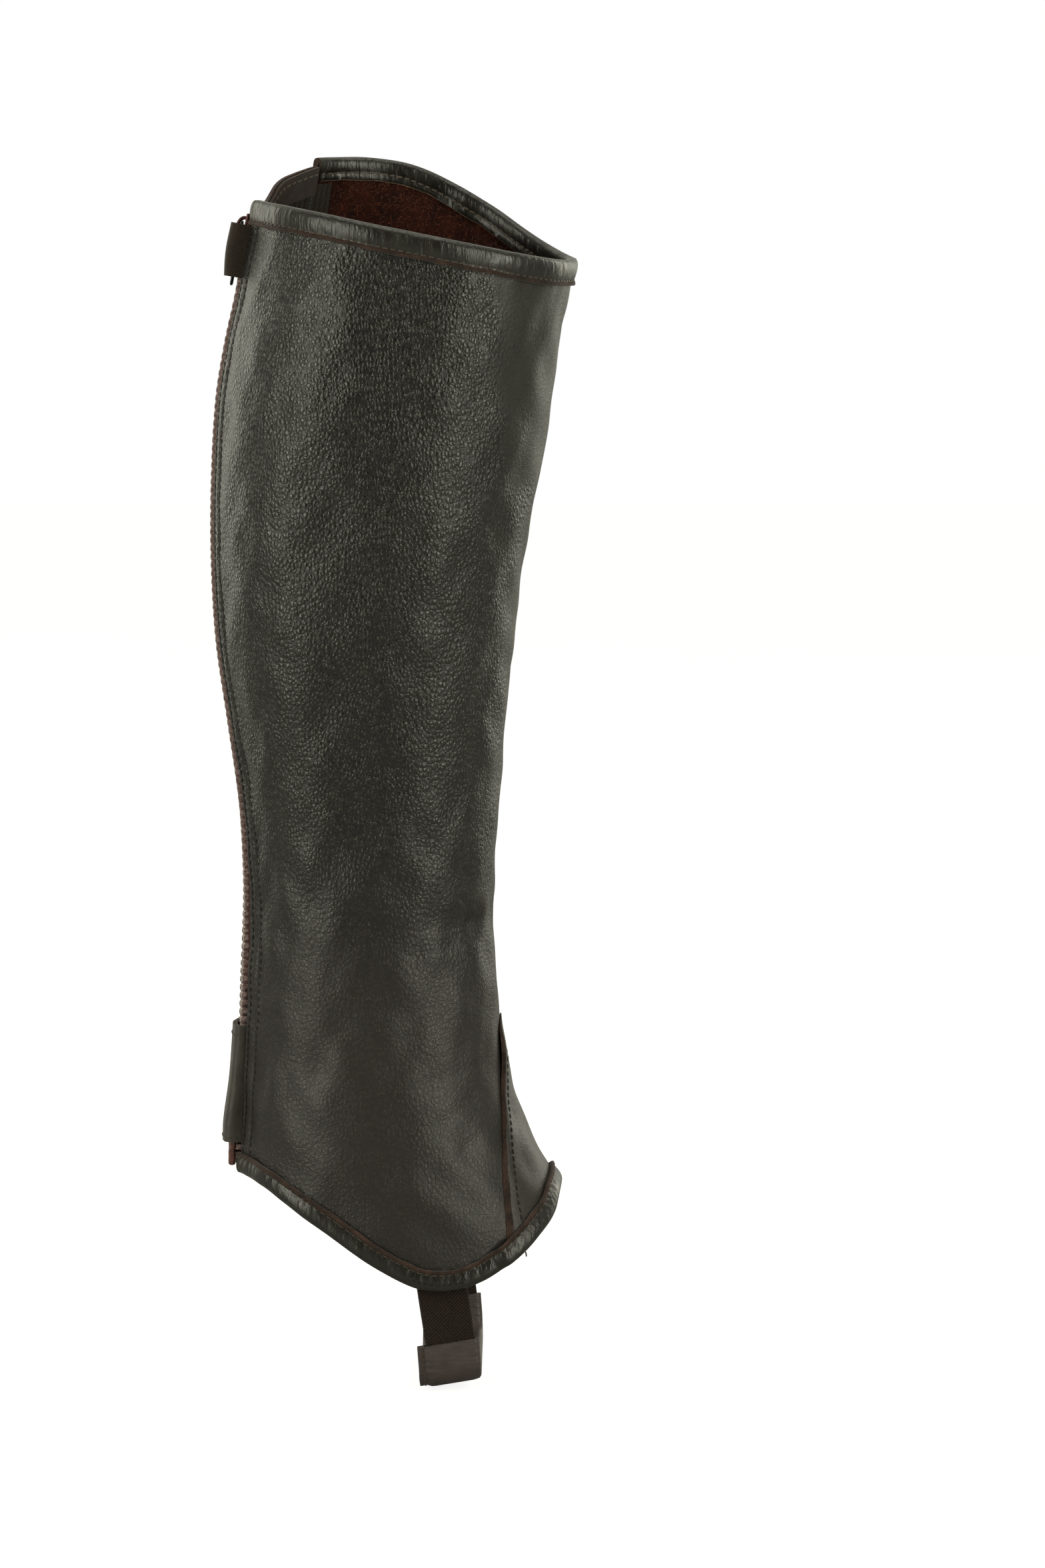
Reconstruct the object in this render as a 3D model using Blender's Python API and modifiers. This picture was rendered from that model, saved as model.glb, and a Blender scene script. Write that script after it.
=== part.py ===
# A half chap for the left leg: a leather gaiter worn from the instep to just below the knee.
# +X is forward, -Y the inner side of the leg, +Y its outer side and +Z up.
# The origin is on the leg's axis, at the fullest part of the calf.
# Sizes here are in millimetres, and become metres where a mesh is made.
# The outer face of the main leather panel is the face that every other piece is measured from.

import functools
import math
from collections import namedtuple

import bmesh
import bpy
from mathutils import Matrix, Vector

MM = 0.001

# Thicknesses, the gap that parts layers of cloth, and the one that parts hard pieces
LEATHER = 1.8
ELASTIC = 1.6
TAPE = 1.0
FACING = 1.2
GAP = 0.6
CLEARANCE = 0.35

# The leg-shaped tube: where its back and front lie and half its width, from the top down
Section = namedtuple("Section", "height back front half_width")
SECTIONS = (
    Section(100, -45.5, 78.6, 56.0),
    Section(78, -50.3, 77.0, 56.6),
    Section(55, -55.5, 74.8, 57.2),
    Section(42, -57.9, 72.6, 57.6),
    Section(21, -62.6, 69.1, 58.0),
    Section(0, -66.0, 66.2, 58.0),
    Section(-32, -68.0, 61.0, 57.0),
    Section(-63, -68.3, 55.1, 55.0),
    Section(-95, -66.7, 51.4, 52.0),
    Section(-127, -62.4, 48.2, 48.5),
    Section(-160, -58.1, 45.3, 45.0),
    Section(-192, -56.5, 43.4, 42.5),
    Section(-213, -57.0, 43.0, 41.5),
    Section(-235, -58.0, 44.6, 41.5),
    Section(-257, -58.7, 46.0, 42.2),
    Section(-279, -59.4, 49.7, 43.8),
    Section(-301, -60.2, 58.8, 45.2),
    Section(-314, -60.8, 66.2, 45.8),
    Section(-330, -62.0, 75.5, 46.2),
    Section(-352, -62.4, 84.0, 46.4),
)
SQUARENESS = 2.15

# Soft folds pressed into the leather: where, how far each way, and how deep
Fold = namedtuple("Fold", "angle height half_angle half_height depth")
FOLDS = (
    Fold(-38, -206, 46, 11, 1.3),
    Fold(30, -212, 40, 12, 1.1),
    Fold(-95, -150, 26, 70, 0.7),
    Fold(-84, 10, 18, 75, 0.8),
    Fold(88, -60, 22, 80, 0.7),
)

# Edges of the tube by side, each as (distance forward, height)
INNER_TOP = ((-52, 79.0), (-23, 73.2), (2, 68.0), (28, 62.8), (48, 58.8), (60, 56.6), (70, 55.2), (80, 55.0))
OUTER_TOP = ((-40, 94.6), (-31, 95.6), (-22, 96.2), (-10, 96.2), (2, 95.0), (12, 92.6), (22, 88.5),
             (42, 77.2), (54, 68.8), (62, 63.3), (70, 58.6), (75, 56.2), (80, 55.0))
ELASTIC_TOP = ((-52, 72.5), (-47.8, 78.5), (-44, 85.2), (-38, 89.6), (-32, 92.2), (-26, 93.4))
HEM = ((-64, -309.4), (-60.5, -309.2), (-56.6, -309.4), (-47.8, -311.8), (-40.6, -316.0), (-23.7, -326.9),
       (-7, -338.4), (5.6, -345.4), (14, -348.8), (23, -349.8), (31, -348.9), (38.5, -346.4),
       (45.2, -342.8), (51.2, -338.6), (59.6, -331.0), (65.8, -323.5), (68.2, -316.2), (72, -306.0))
FRONT_BLEND = (-8, 8)
TOP_LIMITS = (50, 99)
HEM_LIMITS = (-351.5, -300)

# Half the width of the front gusset at each height, and how far it laps over the notch below it
GUSSET = ((-345, 40.0), (-330, 38.2), (-314, 34.2), (-302, 29.5), (-291, 24.5), (-280, 18.5),
          (-268, 11.5), (-256, 6.5), (-246, 1.6))
GUSSET_TOP = -246
GUSSET_LAP = 8
GUSSET_OUT = GAP + 0.2
GUSSET_GRID = 12

# Seam of the leather and the elastic, as an angle from the front, and how far one runs under the other.
# Behind the seam the elastic's face comes out level with the leather's between the two angles.
SEAM_ANGLE = 134
SEAM_LAP_ANGLE = 8
ELASTIC_RISES = (140, 154)
ELASTIC_ROWS = 28
FACING_HEIGHT = 11

# Folded bindings: reach of the outer and inner leaf from the edge, and the thickness of each
EDGE_INSET = 2.3
TOP_LEAVES = (11.2, 9.2)
HEM_LEAVES = (9.0, 7.6)
LEAF = 1.5
TOP_LINES = 37
HEM_LINES = 56

# The hem's binding steps over the gusset and the elastic between these angles from their edges
HEM_BACK = -303
GUSSET_AT_HEM = -336
GUSSET_STEP = (1.5, 8)
ELASTIC_STEP = (-7, -1)

# The zip: how far it lies from the back's centre line at each height, and its parts
ZIP_LINE = ((-310, -3.0), (-280, -4.5), (-235, -7.0), (-190, -6.0), (-140, -3.0), (-60, -2.0),
            (30, -2.0), (80, -3.5))
ZIP_EDGE = 7.8
TAPE_HALF = 16.5
CHAIN_HALF = 3.0
CHAIN_FACES = (-2.0, 0.5)
CHAIN_SPAN = (-304, 65.4)
TAPE_SPAN = (-298, 66)
TAPE_STUB_TOP = 78
ZIP_ROWS = 34

# Points across a tape, from its far edge to its edge at the teeth. It rises from its flat part towards
# the leather's face by these shares of its depth there, and by less where a tab's root lies over it.
TapeSpot = namedtuple("TapeSpot", "across rise rise_at_tab")
TAPE_SPOTS = (
    TapeSpot(TAPE_HALF, 0, 0),
    TapeSpot(12.0, 0, 0),
    TapeSpot(7.4, 0, 0),
    TapeSpot(6.6, 0.08, 0),
    TapeSpot(5.5, 0.42, 0.11),
    TapeSpot(4.4, 0.79, 0.62),
    TapeSpot(3.6, 0.88, 0.71),
)

# The slider at the top of the zip: faces are measured out of the leg, and spans up along the zip
SLIDER_HEIGHT = 66
SLIDER_SPAN = (-7, 7)
PLATE = 1.4
OUTER_PLATE = (CHAIN_FACES[1] + CLEARANCE, CHAIN_FACES[1] + CLEARANCE + PLATE)
INNER_PLATE = (CHAIN_FACES[0] - CLEARANCE - PLATE, CHAIN_FACES[0] - CLEARANCE)
OUTER_PLATE_HALF = 3.8
INNER_PLATE_HALF = 3.1
WEDGE_HALF = 2.2
WEDGE_FOOT = 0.2
BAIL_HALF = 1.2
BAIL_SPAN = (-4.2, 5.8)
BAIL_TOP = 5.5
BAIL_WALL = 1.0

# The pull: a loop of wire that hangs from the bail by its top bar
PULL_WIRE = 0.6
PULL_AXIS = (3.4, 3.2)
PULL_LENGTH = 24.6
PULL_HALF = 2.6
PULL_CORNER = 1.6
PULL_LEAN = 2.5

# The moulded box at the foot of the zip
BOX_SPAN = (-307, -291)
BOX_HALF = 4.2
BOX_DEPTH = 3.0
BOX_ROUNDING = 1.1

# Tabs across the zip: heights, thickness, and how far out they stand over the zip at each height
TOP_TAB_SPAN = (48, 68.2)
TOP_TAB = 1.5
TOP_TAB_PEAKS = ((48, 6.2), (58, 7.35), (68, 7.45))
BOTTOM_TAB_SPAN = (-296.8, -249)
BOTTOM_TAB = 2.0
BOTTOM_TAB_PEAKS = ((-297, 6.3), (-289, 6.3), (-270, 4.4), (-249, 3.5))
TAB_ROOT = 15.6
TAB_END = 25

# Snap caps on the tabs: how far from the zip they sit, and the cap's profile as (radius, rise)
SNAP_AT = 18.5
SNAP_PROFILE = ((0, 0), (4.8, 0), (5.2, 0.4), (4.7, 1.1), (3.1, 1.6), (0, 1.8))
SNAP_SIDES = 16

# The strap under the boot: its middle line's height at the ends and how far forward it is on the way
STRAP_WIDTH = 20
STRAP = 1.5
STRAP_TOP = -337.5
STRAP_BENDS_IN = -352
STRAP_LOW = -388.6
STRAP_SIDE = 40.0
STRAP_TUCK = 3.4
STRAP_CORNER = 8
STRAP_FORWARD = ((-388.6, 26.8), (-380, 26.5), (-372, 25.9), (-350, 22.8), (-337.5, 21.0))
STRAP_LEAN = 9.5
STRAP_TURN = 0.1
STRAP_TURNS_FROM = -375

# The leather sleeve round it: sewn along its back edge and folded at its front
SLEEVE = 1.3
SLEEVE_START = -372
SLEEVE_SEAM = 3.4

# Grid of the main panel
PANEL_ROWS = 30
PANEL_STEP_ANGLE = 9
PANEL_NOTCH_STEP = 6


# Curves and the leg's surface

def curve_value(points, position):
    """Read a smooth curve through (position, value) pairs whose positions rise."""
    last = len(points) - 1
    position = min(max(position, points[0][0]), points[last][0])
    i = 0
    while i < last - 1 and position > points[i + 1][0]:
        i += 1

    def slope(k):
        before = points[max(k - 1, 0)]
        after = points[min(k + 1, last)]
        return (after[1] - before[1]) / (after[0] - before[0])

    (x0, y0), (x1, y1) = points[i], points[i + 1]
    span = x1 - x0
    u = (position - x0) / span
    a = slope(i) * span
    b = slope(i + 1) * span
    return y0 + u * (a + u * (3 * (y1 - y0) - 2 * a - b + u * (2 * (y0 - y1) + a + b)))


def section_column(name):
    return tuple((s.height, getattr(s, name)) for s in reversed(SECTIONS))


BACK = section_column("back")
FRONT = section_column("front")
HALF_WIDTH = section_column("half_width")


def blend(low, high, value):
    """Smooth step from 0 at low to 1 at high."""
    u = min(max((value - low) / (high - low), 0), 1)
    return u * u * (3 - 2 * u)


def mix(first, second, share):
    return first + (second - first) * share


def signed_power(value):
    return math.copysign(abs(value) ** (2 / SQUARENESS), value)


def fold_depth(angle, height):
    total = 0
    for fold in FOLDS:
        turn = (angle - fold.angle + 180) % 360 - 180
        across = abs(turn) / fold.half_angle
        along = abs(height - fold.height) / fold.half_height
        if across < 1 and along < 1:
            total += fold.depth * math.cos(across * math.pi / 2) ** 2 * math.cos(along * math.pi / 2) ** 2
    return total


def crossing(span, before):
    """Place in the span where before() turns from true to false."""
    low, high = span
    for _ in range(40):
        middle = (low + high) / 2
        if before(middle):
            low = middle
        else:
            high = middle
    return low


@functools.lru_cache(maxsize=None)
def leg_xyz(angle, height):
    back = curve_value(BACK, height)
    front = curve_value(FRONT, height)
    turn = math.radians(angle)
    centre = (front + back) / 2
    side = Vector(((front - back) / 2 * signed_power(math.cos(turn)),
                   curve_value(HALF_WIDTH, height) * signed_power(math.sin(turn)), 0))
    side -= side.normalized() * fold_depth(angle, height)
    return side.x + centre, side.y, height


def leg_frame(angle, height):
    """Point of the leather's outer face, its outward normal, and the way up along it."""
    step = 0.5
    point = Vector(leg_xyz(angle, height))
    around = Vector(leg_xyz(angle + step, height)) - Vector(leg_xyz(angle - step, height))
    up = Vector(leg_xyz(angle, height + step)) - Vector(leg_xyz(angle, height - step))
    return point, around.cross(up).normalized(), up.normalized()


def leg_point(angle, height, out=0):
    point, normal, _ = leg_frame(angle, height)
    return point + normal * out


def back_angle(sideways, height):
    """Angle of the point at the back that lies this far to the side of the centre line."""
    share = min(abs(sideways) / curve_value(HALF_WIDTH, height), 1)
    return 180 - math.degrees(math.asin(math.copysign(share ** (SQUARENESS / 2), sideways)))


def zip_angle(across, height):
    return back_angle(curve_value(ZIP_LINE, height) + across, height)


def zip_point(across, height, out=0):
    return leg_point(zip_angle(across, height), height, out)


def zip_frame(height):
    """Matrix of the zip's line here: X out of the leg, Z up along the zip."""
    point, out, up = leg_frame(zip_angle(0, height), height)
    frame = Matrix((out, up.cross(out), up)).transposed().to_4x4()
    frame.translation = point
    return frame


@functools.lru_cache(maxsize=None)
def edge_height(angle, edge, limits):
    """Height at which the line at this angle crosses an edge given as (forward, height) pairs."""
    return crossing(limits, lambda height: height < curve_value(edge, leg_xyz(angle, height)[0]))


def top_height(angle):
    """Height of the top edge, where the inner side's line runs into the outer side's at the front."""
    inner = edge_height(angle, INNER_TOP, TOP_LIMITS)
    outer = edge_height(angle, OUTER_TOP, TOP_LIMITS)
    return mix(inner, outer, blend(*FRONT_BLEND, angle))


def hem_height(angle):
    return edge_height(angle, HEM, HEM_LIMITS)


def inside_edge(edge, angle):
    """How far above or below an edge the cloth inside its binding ends, measured straight up."""
    step = 0.5
    along = Vector(leg_xyz(angle + step, edge(angle + step))) - Vector(leg_xyz(angle - step, edge(angle - step)))
    return EDGE_INSET * along.length / along.xy.length


def gusset_angle(height, lap=0):
    """Angle of the gusset's side edge, or of the notch's edge when it is set in by the lap."""
    half = max(curve_value(GUSSET, height) - lap, 0)
    share = half / curve_value(HALF_WIDTH, height)
    return math.degrees(math.asin(share ** (SQUARENESS / 2)))


@functools.lru_cache(maxsize=None)
def notch_height(angle):
    """Height of the notch's edge on the line at this angle."""
    return crossing((HEM_LIMITS[0], GUSSET_TOP), lambda height: gusset_angle(height, GUSSET_LAP) > abs(angle))


def spaced(start, stop, steps):
    return [start + (stop - start) * i / steps for i in range(steps + 1)]


# Meshes and materials

def make_material(name, colour, roughness, metallic=0.0):
    material = bpy.data.materials.new(name)
    material.use_nodes = True
    shader = material.node_tree.nodes["Principled BSDF"]
    shader.inputs["Base Color"].default_value = (*colour, 1)
    shader.inputs["Roughness"].default_value = roughness
    shader.inputs["Metallic"].default_value = metallic
    material.diffuse_color = (*colour, 1)
    return material


def add_object(name, mesh, material):
    thing = bpy.data.objects.new(name, mesh)
    thing.data.materials.append(material)
    parts.objects.link(thing)
    return thing


def mesh_of(name, points, faces):
    mesh = bpy.data.meshes.new(name)
    mesh.from_pydata([point * MM for point in points], [], faces)
    mesh.validate()
    return mesh


def sheet(name, rows, thickness, material, outward=False):
    """A wall grown from rows of points of its outer face, or of its inner face when outward."""
    wide = len(rows[0])
    points = [point for row in rows for point in row]
    faces = []
    for i in range(len(rows) - 1):
        for j in range(wide - 1):
            corner = i * wide + j
            faces.append((corner, corner + 1, corner + wide + 1, corner + wide))
    wall = add_object(name, mesh_of(name, points, faces), material)
    solidify = wall.modifiers.new("Thickness", "SOLIDIFY")
    solidify.thickness = thickness * MM
    solidify.offset = 1 if outward else -1
    solidify.use_even_offset = True
    return wall


def face_outward(mesh, weld=0.0):
    """Turn every face out, after joining the points that lie closer than the weld."""
    shape = bmesh.new()
    shape.from_mesh(mesh)
    if weld:
        bmesh.ops.remove_doubles(shape, verts=shape.verts, dist=weld * MM)
    bmesh.ops.recalc_face_normals(shape, faces=shape.faces)
    shape.to_mesh(mesh)
    shape.free()


def loft(name, sections, material):
    """A solid skinned over closed sections that have the same number of points."""
    count = len(sections[0])
    points = [point for section in sections for point in section]
    faces = [tuple(range(count))]
    for i in range(len(sections) - 1):
        for j in range(count):
            k = (j + 1) % count
            faces.append((i * count + j, (i + 1) * count + j, (i + 1) * count + k, i * count + k))
    faces.append(tuple(range(len(points) - 1, len(points) - count - 1, -1)))
    mesh = mesh_of(name, points, faces)
    face_outward(mesh)
    return add_object(name, mesh, material)


def tube(name, rings, material):
    """A hollow solid open at both ends: each ring is its outer points, then as many inner ones."""
    count = len(rings[0])
    half = count // 2
    points = [point for ring in rings for point in ring]
    faces = []
    for i in range(len(rings) - 1):
        for start in (0, half):
            for j in range(half):
                here = i * count + start + j
                beside = i * count + start + (j + 1) % half
                faces.append((here, here + count, beside + count, beside))
    for first in (0, len(points) - count):
        for j in range(half):
            k = (j + 1) % half
            faces.append((first + j, first + k, first + half + k, first + half + j))
    mesh = mesh_of(name, points, faces)
    face_outward(mesh)
    return add_object(name, mesh, material)


def block(name, low, high, material, rounding=0.0, segments=1):
    """A box between two corners in its own frame, its edges rounded."""
    shape = bmesh.new()
    bmesh.ops.create_cube(shape, size=1)
    size = Vector(high) - Vector(low)
    middle = (Vector(high) + Vector(low)) / 2
    bmesh.ops.scale(shape, vec=size * MM, verts=shape.verts)
    bmesh.ops.translate(shape, vec=middle * MM, verts=shape.verts)
    mesh = bpy.data.meshes.new(name)
    shape.to_mesh(mesh)
    shape.free()
    thing = add_object(name, mesh, material)
    if rounding:
        bevel = thing.modifiers.new("Round edges", "BEVEL")
        bevel.width = rounding * MM
        bevel.segments = segments
    return thing


def place(thing, frame):
    matrix = frame.copy()
    matrix.translation = frame.translation * MM
    thing.matrix_world = matrix


def take_out(thing):
    """Turn a helper solid into a cutter, which is not a part."""
    parts.objects.unlink(thing)
    cutters.objects.link(thing)
    thing.hide_render = True
    thing.display_type = "WIRE"


def boolean(target, tool, operation):
    take_out(tool)
    modifier = target.modifiers.new(operation.title(), "BOOLEAN")
    modifier.operation = operation
    modifier.object = tool
    modifier.solver = "EXACT"


# Leather panels

def panel_angles(start, corner):
    """Angles of the main panel's upright lines, with one on each corner of the notch."""
    angles = []
    coarse, fine = PANEL_STEP_ANGLE, PANEL_NOTCH_STEP
    for low, high, step in ((start, -corner, coarse), (-corner, 0, fine), (0, corner, fine),
                            (corner, SEAM_ANGLE, coarse)):
        steps = max(round((high - low) / step), 1)
        angles += spaced(low, high, steps)[:-1]
    return angles + [SEAM_ANGLE]


def notch_corner():
    """Angle at which the notch's edge meets the hem."""
    return crossing((10, 80), lambda angle: notch_height(angle) > hem_height(angle) + EDGE_INSET)


def inner_edge_angle(height):
    """Angle of the main panel's edge beside the zip, counted back from the front."""
    return zip_angle(-ZIP_EDGE, height) - 360


def make_main_panel(material):
    start = inner_edge_angle(0)
    corner = notch_corner()
    columns = panel_angles(start, corner)
    rows = [[] for _ in range(PANEL_ROWS + 1)]
    for angle in columns:
        top = top_height(angle) - inside_edge(top_height, angle)
        low = hem_height(angle) + inside_edge(hem_height, angle)
        if abs(angle) < corner - 0.01:
            low = notch_height(angle)
        for row, height in zip(rows, spaced(low, top, PANEL_ROWS)):
            # The lines lean with the zip at the back and stand still from the side forward
            pull = blend(-90, start, angle) if angle < -90 else 0
            row.append(leg_point(angle + pull * (inner_edge_angle(height) - start), height))
    return sheet("main_panel", rows, LEATHER, material)


def make_front_gusset(material):
    """A widening piece over the notch: its lines fan out from its apex to the hem."""
    def above_hem(height, share):
        angle = share * gusset_angle(height)
        return height >= hem_height(angle) + inside_edge(hem_height, angle)

    rows = [[] for _ in range(GUSSET_GRID + 1)]
    for share in spaced(-1, 1, GUSSET_GRID):
        low = crossing(HEM_LIMITS, lambda height: not above_hem(height, share))
        for row, height in zip(rows, spaced(low, GUSSET_TOP, GUSSET_GRID)):
            row.append(leg_point(share * gusset_angle(height), height, GUSSET_OUT))
    return sheet("front_gusset", rows, LEATHER, material, outward=True)


# Elastic on the outer side

def elastic_out(angle):
    """How far out the elastic's face lies: level with the leather at the zip, under it at the seam."""
    return -(LEATHER + GAP) * (1 - blend(*ELASTIC_RISES, angle))


def elastic_top(angle):
    return edge_height(angle, ELASTIC_TOP, (70, 99))


def make_side_elastic(material):
    hidden_start = SEAM_ANGLE - SEAM_LAP_ANGLE
    clear_of_binding = SEAM_ANGLE + 1.3
    edge = zip_angle(ZIP_EDGE, 0)
    rows = [[] for _ in range(ELASTIC_ROWS + 1)]

    def add_line(angle, top, share):
        low = hem_height(angle) + inside_edge(hem_height, angle)
        for row, height in zip(rows, spaced(low, top, ELASTIC_ROWS)):
            here = mix(angle, mix(clear_of_binding, zip_angle(ZIP_EDGE, height), share), min(share * 10, 1))
            row.append(leg_point(here, height, elastic_out(here)))

    for angle in (hidden_start, SEAM_ANGLE - 0.6):
        add_line(angle, top_height(angle) - TOP_LEAVES[1] - 1, 0)
    for share in spaced(0, 1, 5):
        angle = mix(clear_of_binding, edge, share)
        add_line(angle, elastic_top(angle), share)
    return sheet("side_elastic", rows, ELASTIC, material)


def make_elastic_facing(material):
    """A band inside the elastic's top edge."""
    start = SEAM_ANGLE + 1.5
    stop = zip_angle(TAPE_HALF + 1, TAPE_STUB_TOP)
    rows = [[], [], []]
    for angle in spaced(start, stop, 6):
        top = elastic_top(angle) - 0.3
        for row, height in zip(rows, spaced(top - FACING_HEIGHT, top, 2)):
            row.append(leg_point(angle, height, elastic_out(angle) - ELASTIC - GAP))
    return sheet("elastic_facing", rows, FACING, material)


# Folded bindings

def edge_sections(angles, edge, inward, slot, outline):
    """Sections of a folded strip along an edge: inward is -1 at a top edge and 1 at a hem."""
    sections = []
    for angle in angles:
        step = 0.5
        height = edge(angle)
        along = (Vector(leg_xyz(angle + step, edge(angle + step)))
                 - Vector(leg_xyz(angle - step, edge(angle - step)))).normalized()
        _, normal, _ = leg_frame(angle, height)
        inwards = normal.cross(along) * inward
        around = (Vector(leg_xyz(angle + step, height)) - Vector(leg_xyz(angle - step, height))) / (2 * step)
        up = (Vector(leg_xyz(angle, height + step)) - Vector(leg_xyz(angle, height - step))) / (2 * step)
        # Rates of the angle and the height, along the face, for each millimetre in from the edge
        aa, uu, au = around.dot(around), up.dot(up), around.dot(up)
        ai, ui = around.dot(inwards), up.dot(inwards)
        spread = aa * uu - au * au
        turn_rate = (ai * uu - ui * au) / spread
        rise_rate = (ui * aa - ai * au) / spread
        section = []
        for out, distance in outline(*slot(angle)):
            section.append(leg_point(angle + turn_rate * distance, height + rise_rate * distance, out))
        sections.append(section)
    return sections


def binding_outline(leaves):
    """Outline of a folded strip as (out, distance in from the edge), for a slot of the given faces."""
    outer_leaf, inner_leaf = leaves

    def outline(slot_out, slot_in):
        middle = (slot_out + slot_in) / 2
        return (
            (slot_out, outer_leaf),
            (slot_out + 0.8 * LEAF, outer_leaf),
            (slot_out + LEAF, outer_leaf - 2.4),
            (slot_out + 1.25 * LEAF, outer_leaf * 0.45),
            (slot_out + LEAF, 1.4),
            (middle + 0.25 * (slot_out - slot_in), 0.1),
            (middle - 0.25 * (slot_out - slot_in), 0.1),
            (slot_in - LEAF, 1.6),
            (slot_in - LEAF, inner_leaf),
            (slot_in, inner_leaf),
            (slot_in, EDGE_INSET - GAP),
            (slot_out, EDGE_INSET - GAP),
        )
    return outline


def make_top_binding(material):
    def slot(angle):
        return GAP, -LEATHER - GAP

    angles = spaced(inner_edge_angle(76), SEAM_ANGLE, TOP_LINES)
    sections = edge_sections(angles, top_height, -1, slot, binding_outline(TOP_LEAVES))
    return loft("top_binding", sections, material)


def make_hem_binding(material):
    gusset_end = gusset_angle(GUSSET_AT_HEM)
    elastic_start = SEAM_ANGLE - SEAM_LAP_ANGLE

    def slot(angle):
        over_gusset = 1 - blend(*GUSSET_STEP, abs(angle) - gusset_end)
        past_elastic = blend(*ELASTIC_STEP, angle - elastic_start)
        elastic_depth = max(ELASTIC + CLEARANCE - elastic_out(angle), ELASTIC)
        deepest = mix(LEATHER, elastic_depth, past_elastic)
        return GAP + (LEATHER + GUSSET_OUT) * over_gusset, -deepest - GAP

    angles = spaced(inner_edge_angle(HEM_BACK), zip_angle(ZIP_EDGE, HEM_BACK), HEM_LINES)
    sections = edge_sections(angles, hem_height, 1, slot, binding_outline(HEM_LEAVES))
    return loft("hem_binding", sections, material)


# The zip

def tab_share(height, span, margin=11, fade=8):
    """1 beside a tab, falling to 0 some way above and below it."""
    low, high = span[0] - margin, span[1] + margin
    return blend(low - fade, low, height) * (1 - blend(high, high + fade, height))


def under_tabs(height, spot, out):
    """The inner tape dips here to let the roots of the tabs lie between it and the leather."""
    for span, thickness in ((TOP_TAB_SPAN, TOP_TAB), (BOTTOM_TAB_SPAN, BOTTOM_TAB)):
        deepest = -LEATHER - GAP - thickness - GAP
        out = mix(out, deepest * (1 - spot.rise_at_tab), tab_share(height, span))
    return out


def make_zip_tape(name, side, material):
    """One tape: side is -1 for the inner side of the leg and 1 for the outer side."""
    face = -(LEATHER if side < 0 else ELASTIC) - GAP
    sections = []
    for i in range(ZIP_ROWS + 1):
        outer = []
        inner = []
        for spot in TAPE_SPOTS:
            # Only the part between the cloth's edges runs on above the teeth
            top = TAPE_SPAN[1] if spot.across > ZIP_EDGE - 1 else TAPE_STUB_TOP
            height = mix(TAPE_SPAN[0], top, i / ZIP_ROWS)
            out = face * (1 - spot.rise)
            if side < 0:
                out = under_tabs(height, spot, out)
            outer.append(zip_point(side * spot.across, height, out))
            inner.append(zip_point(side * spot.across, height, out - TAPE))
        sections.append(outer + inner[::-1])
    return loft(name, sections, material)


def make_zip_chain(material):
    low, high = CHAIN_FACES
    sections = []
    for height in spaced(*CHAIN_SPAN, ZIP_ROWS):
        corners = ((-CHAIN_HALF, low), (CHAIN_HALF, low), (CHAIN_HALF, high), (-CHAIN_HALF, high))
        sections.append([zip_point(across, height, out) for across, out in corners])
    return loft("zip_chain", sections, material)


def upright_block(name, faces, half, span, material, rounding=0.0):
    """A rounded box in the zip's frame: its faces out of the leg, half its width, its heights."""
    return block(name, (faces[0], -half, span[0]), (faces[1], half, span[1]), material, rounding)


def make_zip_slider(material):
    """Two plates round the teeth, joined by a wedge above them, with a bail that holds the pull."""
    frame = zip_frame(SLIDER_HEIGHT)
    joint = 0.5
    between = (INNER_PLATE[1] - joint, OUTER_PLATE[0] + joint)
    window_faces = (OUTER_PLATE[1] + 0.1, BAIL_TOP - BAIL_WALL)
    window_span = (BAIL_SPAN[0] + BAIL_WALL, BAIL_SPAN[1] - BAIL_WALL)
    body = upright_block("zip_slider", OUTER_PLATE, OUTER_PLATE_HALF, SLIDER_SPAN, material, 0.5)
    inner = upright_block("slider_inner_plate", INNER_PLATE, INNER_PLATE_HALF, SLIDER_SPAN, material, 0.4)
    wedge = upright_block("slider_wedge", between, WEDGE_HALF, (WEDGE_FOOT, SLIDER_SPAN[1] - 1), material)
    bail = upright_block("slider_bail", (OUTER_PLATE[1] - joint, BAIL_TOP), BAIL_HALF, BAIL_SPAN, material, 0.5)
    window = upright_block("bail_window", window_faces, BAIL_HALF + 1, window_span, material)
    for piece in (body, inner, wedge, bail, window):
        place(piece, frame)
    boolean(bail, window, "DIFFERENCE")
    for piece in (inner, wedge, bail):
        boolean(body, piece, "UNION")
    return body


def pull_frame():
    """Frame of the pull's hinge: the wire's top bar, with the loop hanging down from it."""
    out, up = PULL_AXIS
    frame = zip_frame(SLIDER_HEIGHT) @ Matrix.Translation((out, 0, up))
    return frame @ Matrix.Rotation(math.radians(PULL_LEAN), 4, "Y")


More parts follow.
